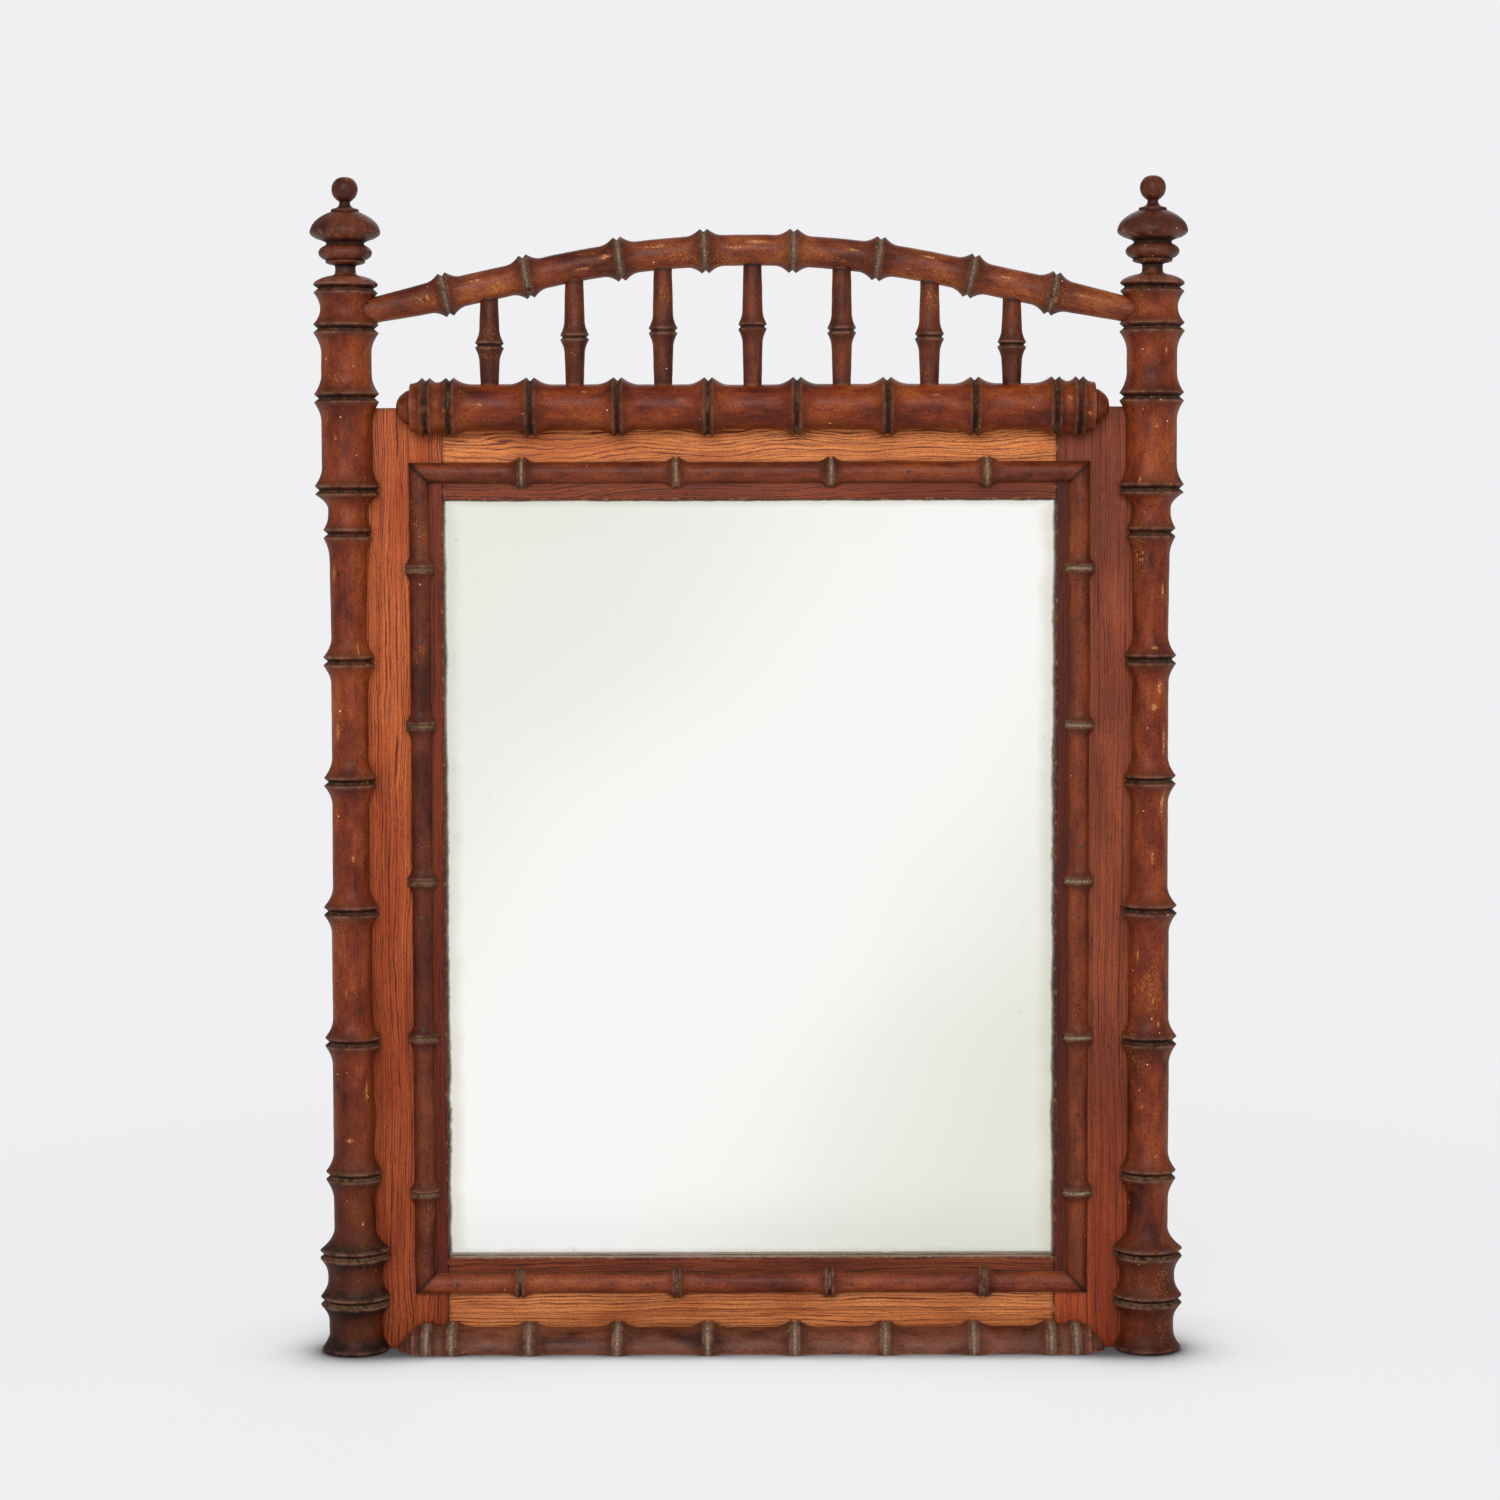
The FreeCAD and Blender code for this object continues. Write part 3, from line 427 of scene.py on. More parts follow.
def flare_out(t0, r0, w, fl, n=14):
    q = np.linspace(0, 1, n + 1)[1:]
    return [(t0 + x * fl, w + (r0 - w) * (1 - x) ** 2) for x in q]


def bay(t0, r0, t1, r1, w0, w1, fl):
    fl = min(abs(fl), 0.5 * (t1 - t0))
    a = flare_out(t0, r0, w0, fl)
    b = [(t1 - (t - t0), w1 + (rr - w0) * ((r1 - w1) / (r0 - w0))) for t, rr in flare_out(t0, r0, w0, fl)]
    return a + b[::-1] + [(t1, r1)]


def post_line():
    pts = [(0.0, 28.2), (1.2, 29.9), (3.0, 30.6)]
    t, r = 3.0, 30.6
    for (z, lp), (w0, w1), fl in zip(POST_RINGS, POST_WAISTS, POST_FLARES):
        pts += bay(t, r, z - POST_LIP_HALF, lp, w0, w1, fl)
        pts.append((z, lp - POST_V))
        t, r = z + POST_LIP_HALF, lp
        if z < POST_RINGS[-1][0]:
            pts.append((t, r))
    return pts + [(964.6, 28.4), (966.2, 28.8), (968.7, 26.4), (971.3, 21.6), (972.8, 16.6), (POST_TOP_Z, 12.6)]


def rail_line(knots):
    half, t = [(0.0, RAIL_WAISTS[0])], 0.0
    for i, k in enumerate(knots):
        w = RAIL_WAISTS[i]
        if i == 0:
            t1 = k - RAIL_LIP_HALF
            half += [(t1 - (a - 0.0), rr) for a, rr in flare_out(0.0, RAIL_LIP, w, RAIL_FLARE)][::-1] + [(t1, RAIL_LIP)]
        else:
            half += bay(t, RAIL_LIP, k - RAIL_LIP_HALF, RAIL_LIP, w, w, RAIL_FLARE)
        half.append((k, RAIL_LIP - RAIL_V))
        t = k + RAIL_LIP_HALF
        half.append((t, RAIL_LIP))
    half += [(knots[-1] + a, rr) for a, rr in RAIL_END]
    return [(-a, b) for a, b in reversed(half)] + half[1:]


def mould_line(t0, t1, knots):
    pts = [(t0, MOULD_R)]
    for k in knots:
        a, c = k - MOULD_LIP_HALF, k + MOULD_LIP_HALF
        pts += [(a - x, rr) for x, rr in flare_out(0.0, MOULD_LIP, MOULD_R, MOULD_FLARE)][::-1]
        pts += [(a, MOULD_LIP), (k, MOULD_LIP - MOULD_V), (c, MOULD_LIP)]
        pts += flare_out(c, MOULD_LIP, MOULD_R, MOULD_FLARE)
    return pts + [(t1, MOULD_R)]


def crest_z(x):
    x = np.abs(np.asarray(x, float))
    c = CREST_APEX_Z - CREST_R
    flat = math.sqrt(CREST_R ** 2 - CREST_ARC_X ** 2)
    arc = c + np.sqrt(np.maximum(CREST_R ** 2 - x ** 2, 1.0))
    return np.where(x <= CREST_ARC_X, arc, c + flat - CREST_ARC_X / flat * (x - CREST_ARC_X))


# ------------------------------------------------------------------ materials
def lin(h):
    c = [int(h[i:i + 2], 16) / 255 for i in (1, 3, 5)]
    return tuple(x / 12.92 if x <= 0.04045 else ((x + 0.055) / 1.055) ** 2.4 for x in c) + (1.0,)


class Nodes:
    def __init__(self, name):
        self.mat = bpy.data.materials.new(name)
        self.mat.use_nodes = True
        self.t = self.mat.node_tree
        self.t.nodes.clear()
        out = self.t.nodes.new("ShaderNodeOutputMaterial")
        self.bsdf = self.t.nodes.new("ShaderNodeBsdfPrincipled")
        self.t.links.new(self.bsdf.outputs["BSDF"], out.inputs["Surface"])

    def new(self, kind, **props):
        n = self.t.nodes.new("ShaderNode" + kind)
        for k, v in props.items():
            setattr(n, k, v)
        return n

    def put(self, socket, value):
        if isinstance(value, bpy.types.NodeSocket):
            self.t.links.new(value, socket)
        else:
            socket.default_value = value

    def math(self, op, a, b=0.0, clamp=False):
        n = self.new("Math", operation=op, use_clamp=clamp)
        self.put(n.inputs[0], a)
        self.put(n.inputs[1], b)
        return n.outputs[0]

    def mul(self, a, b):
        return self.math("MULTIPLY", a, b)

    def add(self, a, b):
        return self.math("ADD", a, b)

    def vec(self, op, a, b=(0, 0, 0)):
        n = self.new("VectorMath", operation=op)
        self.put(n.inputs[0], a)
        self.put(n.inputs[1], b)
        return n.outputs["Value"] if op in ("LENGTH", "DOT_PRODUCT", "DISTANCE") else n.outputs["Vector"]

    def sep(self, v):
        n = self.new("SeparateXYZ")
        self.put(n.inputs[0], v)
        return n.outputs[0], n.outputs[1], n.outputs[2]

    def comb(self, x=0.0, y=0.0, z=0.0):
        n = self.new("CombineXYZ")
        for s, v in zip(n.inputs, (x, y, z)):
            self.put(s, v)
        return n.outputs[0]

    def object(self):
        return self.new("TexCoord").outputs["Object"]

    def attr(self, name, kind="Fac"):
        return self.new("Attribute", attribute_name=name).outputs[kind]

    def noise(self, v, scale=1.0, detail=3.0, rough=0.5, bend=0.0):
        n = self.new("TexNoise")
        self.put(n.inputs["Vector"], v)
        self.put(n.inputs["Scale"], scale)
        self.put(n.inputs["Detail"], detail)
        self.put(n.inputs["Roughness"], rough)
        self.put(n.inputs["Distortion"], bend)
        return n.outputs["Fac"]

    def cells(self, v, scale):
        n = self.new("TexVoronoi")
        self.put(n.inputs["Vector"], v)
        self.put(n.inputs["Scale"], scale)
        return n.outputs["Distance"], n.outputs["Color"]

    def ease(self, v, a, b, lo=0.0, hi=1.0):
        n = self.new("MapRange", interpolation_type="SMOOTHSTEP")
        for s, x in zip(n.inputs, (v, a, b, lo, hi)):
            self.put(s, x)
        return n.outputs[0]

    def scale(self, v, a, b, lo=0.0, hi=1.0):
        n = self.new("MapRange")
        for s, x in zip(n.inputs, (v, a, b, lo, hi)):
            self.put(s, x)
        return n.outputs[0]

    def mix(self, f, a, b, blend="MIX"):
        n = self.new("Mix", data_type="RGBA", blend_type=blend, clamp_factor=True)
        self.put(n.inputs[0], f)
        self.put(n.inputs[6], a)
        self.put(n.inputs[7], b)
        return n.outputs[2]

    def ramp(self, f, stops):
        n = self.new("ValToRGB")
        e = n.color_ramp.elements
        while len(e) < len(stops):
            e.new(0.5)
        for x, (pos, col) in zip(e, stops):
            x.position, x.color = pos, col
        self.put(n.inputs[0], f)
        return n.outputs[0]

    def bump(self, height, strength, distance, normal=None):
        n = self.new("Bump")
        self.put(n.inputs["Strength"], strength)
        self.put(n.inputs["Distance"], distance)
        self.put(n.inputs["Height"], height)
        if normal is not None:
            self.put(n.inputs["Normal"], normal)
        return n.outputs["Normal"]

    def done(self, color, rough, normal=None, metallic=0.0, specular=0.5, coat=0.0, coat_rough=0.2):
        b = self.bsdf.inputs
        self.put(b["Base Color"], color)
        self.put(b["Roughness"], rough)
        self.put(b["Metallic"], metallic)
        b["Specular IOR Level"].default_value = specular
        b["Coat Weight"].default_value = coat
        b["Coat Roughness"].default_value = coat_rough
        if normal is not None:
            self.put(b["Normal"], normal)
        return self.mat


def grey(v):
    return (v, v, v, 1.0)


def turned_wood(name, dark, mid, warm, wear=0.5, grime=1.0, dusty=0.5, rough=0.43, packed=0.05, bared="#a9683c", chip=None,
                powder=("#4a3526", "#967d60"), tint=(1.0, 0.955, 0.80, 1.0), lips=1.0):
    """Stained and shellacked beech: mottled red brown, fibres along the axis, grime and painted shade in the vees and
    hollows, worn lips with a painted highlight.
    """
    m = Nodes(name)
    chip = wear if chip is None else chip
    ax = m.attr("axis", "Vector")
    grime_and_shade, dust, lip, contact = (m.attr(k) for k in ("grime_and_shade", "dust", "lip", "contact"))
    cloud = m.noise(m.vec("MULTIPLY", ax, (13, 34, 34)), 1.0, 3.0, 0.55)
    blotch = m.noise(m.vec("MULTIPLY", ax, (55, 120, 120)), 1.0, 4.0, 0.6)
    fibre = m.noise(m.vec("MULTIPLY", ax, (30, 760, 760)), 1.0, 3.0, 0.6)
    fine = m.noise(m.vec("MULTIPLY", ax, (420, 640, 640)), 1.0, 3.0, 0.65)
    tone = m.add(m.add(m.mul(cloud, 0.52), m.mul(blotch, 0.30)), m.mul(fibre, 0.18))
    col = m.ramp(tone, [(0.37, lin(dark)), (0.50, lin(mid)), (0.63, lin(warm))])
    col = m.mix(m.ease(fibre, 0.55, 0.8, 0.0, 0.35), col, lin("#2c0f08"))
    grit = m.noise(m.vec("MULTIPLY", ax, (520, 900, 900)), 1.0, 3.0, 0.7)
    col = m.mix(m.ease(grit, 0.48, 0.66, 0.0, 0.80), col, m.mix(1.0, col, lin("#84604f"), "MULTIPLY"))
    col = m.mix(m.ease(grit, 0.46, 0.30, 0.0, 0.75), col, m.mix(1.0, col, lin("#c27a50"), "SOFT_LIGHT"))
    # rubbed patches down to the orange wood, more of them on the lit outer flank of the posts as painted light
    where = m.ease(m.noise(m.vec("MULTIPLY", m.vec("ADD", ax, (3.1, 1.7, 0.4)), (17, 40, 40)), 1.0, 2.0, 0.5), 0.66 - 0.22 * wear, 0.80 - 0.16 * wear)
    flake = m.ease(m.noise(m.vec("MULTIPLY", ax, (400, 640, 640)), 1.0, 4.0, 0.62), 0.54, 0.64)
    flank_light = m.mul(m.attr("wear_and_flank_light"), m.ease(m.noise(m.vec("MULTIPLY", ax, (26, 70, 70)), 1.0, 3.0, 0.55), 0.40, 0.58))
    where = m.math("MAXIMUM", where, flank_light)
    wear_and_flank_light = m.mul(m.mul(where, flake), 0.85)
    col = m.mix(m.mul(where, 0.22 * wear), col, lin("#9a5225"))
    col = m.mix(wear_and_flank_light, col, m.ramp(fine, [(0.35, lin("#a0591f")), (0.65, lin("#c98745"))]))
    # grime and painted shade: darker on the flares, near black in the vees and hollows, and painted shade beside the
    # boards and on the gallery's underside
    soil_and_shade = m.math("MULTIPLY", grime_and_shade, m.scale(blotch, 0.3, 0.7, 0.65, 1.2), clamp=True)
    col = m.mix(m.mul(soil_and_shade, 0.96 * grime), col, lin("#150805"))
    settle = m.mul(m.mul(dust, m.ease(m.noise(m.vec("MULTIPLY", ax, (150, 260, 260)), 1.0, 3.0, 0.6), 0.32, 0.62)), dusty)
    col = m.mix(m.math("MULTIPLY", settle, 0.62, clamp=True), col, m.ramp(fine, [(0.3, lin(powder[0])), (0.7, lin(powder[1]))]))
    # dust packed into the bottom of the vees
    lodged = m.mul(m.attr("fill"), m.ease(m.noise(m.vec("MULTIPLY", ax, (60, 60, 60)), 1.0, 4.0, 0.6), 0.64 - 0.5 * packed, 0.76 - 0.5 * packed))
    col = m.mix(m.mul(lodged, min(1.0, 0.35 + packed * 0.6)), col, m.ramp(fine, [(0.34, lin(powder[0])), (0.68, lin(powder[1]))]))
    # lips: a worn line and a painted highlight, chipped to bare wood here and there
    bare = m.ease(m.noise(m.vec("MULTIPLY", ax, (120, 150, 150)), 1.0, 4.0, 0.6), 0.64 - 0.12 * chip, 0.72 - 0.12 * chip)
    lip_wear_and_highlight = m.ease(m.noise(m.vec("MULTIPLY", ax, (70, 95, 95)), 1.0, 3.0, 0.6), 0.38, 0.60, 0.14 * lips, 0.62 * lips)
    col = m.mix(m.mul(lip, lip_wear_and_highlight), col, lin("#8f6659"))
    col = m.mix(m.mul(m.mul(lip, bare), 0.75), col, lin(bared))
    # brown line of old polish where it meets the boards
    col = m.mix(m.math("MULTIPLY", contact, 0.85, clamp=True), col, m.ramp(fine, [(0.36, lin("#43351c")), (0.62, lin("#9a8556"))]))
    # sawn backs, never stained
    saw = m.noise(m.vec("MULTIPLY", ax, (900, 60, 60)), 1.0, 3.0, 0.6)
    bare_back = m.ramp(m.add(m.mul(fibre, 0.6), m.mul(saw, 0.4)), [(0.36, lin("#5b4430")), (0.62, lin("#8d6f50"))])
    col = m.mix(m.math("MULTIPLY", m.attr("sawn"), 0.96, clamp=True), col, bare_back)
    # old knocks down to pale wood
    shred = m.noise(m.vec("MULTIPLY", ax, (420, 800, 800)), 1.0, 4.0, 0.7)
    torn = m.ease(m.mul(m.attr("scar"), m.scale(shred, 0.34, 0.66, 0.0, 1.6)), 0.46, 0.70)
    col = m.mix(m.mul(m.ease(m.attr("scar"), 0.05, 0.6), 0.40), col, lin("#8c4a20"))
    col = m.mix(m.mul(torn, 0.85), col, m.ramp(fine, [(0.36, lin("#a1622d")), (0.68, lin("#cfa472"))]))
    # cream specks
    dist, rnd = m.cells(m.vec("MULTIPLY", ax, (1, 1, 1)), 95.0)
    r1, r2, r3 = m.sep(rnd)
    dot = m.mul(m.math("LESS_THAN", dist, m.scale(r2, 0, 1, 0.025, 0.085)), m.math("GREATER_THAN", r1, 0.80 - 0.2 * wear))
    col = m.mix(m.mul(dot, 0.85), col, lin("#d9c3a2"))
    nick, rnd2 = m.cells(m.vec("MULTIPLY", m.vec("ADD", ax, (0.7, 0.3, 0.9)), (0.55, 1, 1)), 48.0)
    q1, q2, q3 = m.sep(rnd2)
    hole = m.mul(m.math("LESS_THAN", nick, m.scale(q2, 0, 1, 0.02, 0.06)), m.math("GREATER_THAN", q1, 0.78))
    col = m.mix(m.mul(hole, 0.85), col, lin("#170906"))
    r = m.add(rough, m.mul(m.math("SUBTRACT", blotch, 0.5), 0.28))
    r = m.add(r, m.add(m.mul(soil_and_shade, 0.22), m.add(m.mul(settle, 0.3), m.mul(wear_and_flank_light, 0.14))))
    h = m.add(m.add(m.mul(fibre, 0.28), m.mul(blotch, 0.45)), m.add(m.add(m.mul(wear_and_flank_light, -0.5), m.mul(torn, -0.7)), m.add(m.mul(hole, -0.8), m.mul(dot, 0.3))))
    n = m.bump(h, 0.42, 0.0006)
    n = m.bump(fine, 0.16, 0.0003, n)
    col = m.mix(1.0, col, tint, "MULTIPLY")
    return m.done(col, m.math("MINIMUM", r, 0.95), n, specular=0.17)


def pine(name, grain, pith, spacing, light, dark, deep, inner, warp=1.0, sill=False, low=0.0, raw="#a98a66", rough=0.46, line=0.95, low_tint="#a86a55", low_mode="MULTIPLY",
         low_from=0.60):
    """Stained pine, sawn so that the growth rings run as close lines along the board; bare and grey behind."""
    m = Nodes(name)
    x, y, z = m.sep(m.object())
    u, v, w = (x, y, z) if grain == "z" else (z, y, x)
    board_grime_and_shade, edge = m.attr("grime"), m.attr("edge")
    slow = m.noise(m.comb(m.mul(u, 7.0), m.mul(v, 7.0), m.mul(w, 1.5)), 1.0, 2.0, 0.5)
    slow2 = m.noise(m.comb(m.mul(u, 22.0), m.mul(v, 22.0), m.add(m.mul(w, 7.5), 8.0)), 1.0, 3.0, 0.5)
    bend = m.add(m.mul(m.math("SUBTRACT", slow, 0.5), 0.030 * warp), m.mul(m.math("SUBTRACT", slow2, 0.5), 0.015 * warp))
    q = m.comb(m.add(m.math("SUBTRACT", u, pith[0]), bend), m.add(m.math("SUBTRACT", v, pith[1]), m.mul(bend, 0.5)), 0.0)
    d = m.vec("LENGTH", q)
    uneven = m.noise(m.comb(m.mul(d, 85.0), 3.0, 1.0), 1.0, 4.0, 0.62)
    d = m.add(d, m.mul(m.math("SUBTRACT", uneven, 0.5), 0.0105))
    phase = m.math("DIVIDE", d, spacing)
    f = m.math("FRACT", phase)
    late = m.ramp(f, [(0.0, grey(0.9)), (0.09, grey(0.0)), (0.48, grey(0.06)), (0.72, grey(0.62)), (0.88, grey(1.0)), (1.0, grey(0.95))])
    ring = m.math("FLOOR", phase)
    force = m.noise(m.comb(m.mul(ring, 7.31), m.mul(w, 5.0), 0.0), 1.0, 2.0, 0.5)
    late = m.mul(late, m.scale(force, 0.34, 0.66, 0.40, 1.25))
    broken = m.noise(m.comb(m.mul(u, 420.0), m.mul(v, 420.0), m.mul(w, 34.0)), 1.0, 3.0, 0.6)
    late = m.mul(late, m.scale(broken, 0.36, 0.60, 0.40, 1.25))
    fibre = m.noise(m.comb(m.mul(u, 900.0), m.mul(v, 900.0), m.mul(w, 22.0)), 1.0, 3.0, 0.6)
    streak = m.noise(m.comb(m.mul(u, 240.0), m.mul(v, 240.0), m.mul(w, 5.0)), 1.0, 3.0, 0.55)
    cloud = m.noise(m.comb(m.mul(u, 26.0), m.mul(v, 26.0), m.mul(w, 7.0)), 1.0, 3.0, 0.55)
    fine = m.noise(m.object(), 900.0, 3.0, 0.6)
    col = m.mix(m.ease(cloud, 0.35, 0.68), lin(light), lin(deep))
    col = m.mix(m.ease(streak, 0.42, 0.75, 0.0, 0.45), col, lin(dark))
    col = m.mix(m.math("MULTIPLY", late, line, clamp=True), col, lin(dark))
    col = m.mix(m.ease(fibre, 0.56, 0.78, 0.0, 0.40), col, lin("#4a1a0c"))
    col = m.mix(m.ease(fibre, 0.44, 0.26, 0.0, 0.30), col, m.mix(1.0, col, lin("#e0955c"), "SOFT_LIGHT"))
    dash = m.ease(m.noise(m.comb(m.mul(u, 1050.0), m.mul(v, 1050.0), m.mul(w, 85.0)), 1.0, 2.0, 0.5), 0.62, 0.70)
    col = m.mix(m.mul(dash, 0.6), col, lin(dark))
    pore = m.ease(m.noise(m.comb(m.mul(u, 1500.0), m.mul(v, 1500.0), m.mul(w, 130.0)), 1.0, 2.0, 0.5), 0.70, 0.76)
    col = m.mix(m.mul(pore, 0.7), col, lin("#2a0f08"))
    col = m.mix(m.ease(fine, 0.48, 0.66, 0.0, 0.5), col, m.mix(1.0, col, lin("#94705c"), "MULTIPLY"))
    # the narrow strip between moulding and glass is darker
    ix = m.math("LESS_THAN", m.math("ABSOLUTE", x), 0.2970)
    iz = m.mul(m.math("GREATER_THAN", z, 0.0604), m.math("LESS_THAN", z, 0.7980))
    col = m.mix(m.mul(m.mul(ix, iz), inner), col, m.mix(0.96, col, lin("#8a5948"), "MULTIPLY"))
    # rubbed and soiled edges; old polish and painted contact shade along everything that stands on the board
    worn = m.mul(edge, m.ease(m.noise(m.object(), 130.0, 4.0, 0.6), 0.5, 0.66))
    col = m.mix(m.mul(edge, 0.80), col, lin("#35140b"))
    col = m.mix(m.mul(worn, 0.5), col, lin("#c08a58"))
    soil_and_shade = m.math("MULTIPLY", board_grime_and_shade, m.scale(m.noise(m.object(), 220.0, 3.0, 0.6), 0.3, 0.7, 0.55, 1.15), clamp=True)
    col = m.mix(m.mul(soil_and_shade, 0.8), col, m.ramp(fine, [(0.4, lin("#2a190d")), (0.68, lin("#5f4a2c"))]))
    fade = m.ease(z, low_from, 0.05, 0.0, low)
    if low_mode == "SOFT_LIGHT":
        fade = m.mul(fade, m.math("SUBTRACT", 1.0, m.mul(ix, iz)))
    col = m.mix(fade, col, m.mix(1.0, col, lin(low_tint), low_mode))
    if sill:
        lodged = m.mul(m.ease(z, 0.0826, 0.0838), m.ease(m.noise(m.object(), 420.0, 3.0, 0.6), 0.36, 0.6))
        col = m.mix(m.mul(lodged, 0.42), col, lin("#8d8068"))
    # unfinished behind
    back = m.ease(m.add(y, m.mul(m.math("SUBTRACT", cloud, 0.5), 0.012)), 0.0205, 0.0245)
    bare = m.mix(m.mul(late, 0.7), lin(raw), lin("#7d5a3a"))
    bare = m.mix(m.ease(fibre, 0.5, 0.8, 0.0, 0.5), bare, lin("#5e452f"))
    bare = m.mix(m.ease(cloud, 0.4, 0.7, 0.0, 0.5), bare, lin("#7c6a58"))
    col = m.mix(back, col, bare)
    r = m.add(rough, m.add(m.mul(late, -0.06), m.mul(m.math("SUBTRACT", cloud, 0.5), 0.2)))
    r = m.add(r, m.add(m.mul(back, 0.32), m.mul(soil_and_shade, 0.2)))
    h = m.add(m.add(m.mul(late, 0.5), m.mul(fibre, 0.35)), m.mul(pore, -0.6))
    n = m.bump(h, 0.55, 0.0006)
    n = m.bump(fine, 0.10, 0.0002, n)
    return m.done(col, r, n, specular=0.18)


def raw_boards(name):
    """Thin unfinished pine behind the glass: grey brown, saw marks, a few knots, dust."""
    m = Nodes(name)
    co = m.object()
    x, y, z = m.sep(co)
    bend = m.noise(m.comb(m.mul(x, 1.8), m.mul(y, 8.0), m.mul(z, 9.0)), 1.0, 2.0, 0.5)
    kd, kc = m.cells(m.comb(m.mul(x, 3.1), 0.0, m.mul(z, 7.5)), 1.0)
    knot = m.ease(kd, 0.20, 0.03)
    k1, k2, k3 = m.sep(kc)
    knot = m.mul(knot, m.math("GREATER_THAN", k1, 0.62))
    d = m.add(m.add(z, m.mul(m.math("SUBTRACT", bend, 0.5), 0.09)), m.mul(knot, 0.02))
    uneven = m.noise(m.comb(m.mul(d, 70.0), 0.0, 5.0), 1.0, 2.0, 0.6)
    f = m.math("FRACT", m.math("DIVIDE", m.add(d, m.mul(uneven, 0.012)), 0.0085))
    late = m.ramp(f, [(0.0, grey(0.7)), (0.08, grey(0.0)), (0.5, grey(0.12)), (0.86, grey(1.0)), (1.0, grey(0.8))])
    fibre = m.noise(m.comb(m.mul(x, 14.0), m.mul(y, 600.0), m.mul(z, 600.0)), 1.0, 3.0, 0.6)
    cloud = m.noise(m.comb(m.mul(x, 4.0), m.mul(y, 10.0), m.mul(z, 11.0)), 1.0, 4.0, 0.6)
    saw = m.noise(m.comb(m.mul(x, 160.0), 0.0, m.mul(z, 3.0)), 1.0, 2.0, 0.5)
    col = m.mix(m.ease(cloud, 0.35, 0.7), lin("#a5865f"), lin("#7a6248"))
    col = m.mix(m.mul(late, 0.55), col, lin("#6b4a2c"))
    col = m.mix(m.ease(fibre, 0.5, 0.78, 0.0, 0.5), col, lin("#4c3826"))
    col = m.mix(m.mul(knot, 0.8), col, lin("#3f2413"))
    stain = m.ease(m.noise(co, 6.0, 3.0, 0.55), 0.56, 0.72)
    col = m.mix(m.mul(stain, 0.4), col, lin("#4f4336"))
    edge = m.attr("edge")
    col = m.mix(m.mul(edge, 0.6), col, lin("#2c2118"))
    h = m.add(m.add(m.mul(late, 0.4), m.mul(fibre, 0.5)), m.mul(saw, 0.35))
    n = m.bump(h, 0.5, 0.0007)
    return m.done(col, m.add(0.72, m.mul(cloud, 0.15)), n, specular=0.25)


def iron(name, plain="#3b3632", old="#4a2817", bright="#7a4524", metal=0.9):
    m = Nodes(name)
    co = m.object()
    rust = m.noise(co, 420.0, 4.0, 0.65)
    cloud = m.noise(co, 90.0, 3.0, 0.5)
    patch = m.ease(m.add(m.mul(rust, 0.6), m.mul(cloud, 0.4)), 0.46, 0.6)
    col = m.mix(patch, lin(plain), lin(old))
    col = m.mix(m.ease(rust, 0.62, 0.74, 0.0, 0.6), col, lin(bright))
    n = m.bump(rust, 0.4, 0.0002)
    return m.done(col, m.scale(patch, 0, 1, 0.42, 0.85), n, metallic=m.scale(patch, 0, 1, metal, metal * 0.1), specular=0.4)


def brass(name):
    m = Nodes(name)
    co = m.object()
    grime = m.noise(co, 110.0, 4.0, 0.6)
    fine = m.noise(co, 1500.0, 2.0, 0.5)
    old = m.ease(grime, 0.36, 0.70)
    col = m.mix(old, lin("#93784c"), lin("#66523a"))
    n = m.bump(fine, 0.2, 0.0001)
    return m.done(col, m.scale(old, 0, 1, 0.34, 0.52), n, metallic=m.scale(old, 0, 1, 1.0, 0.85), specular=0.5)


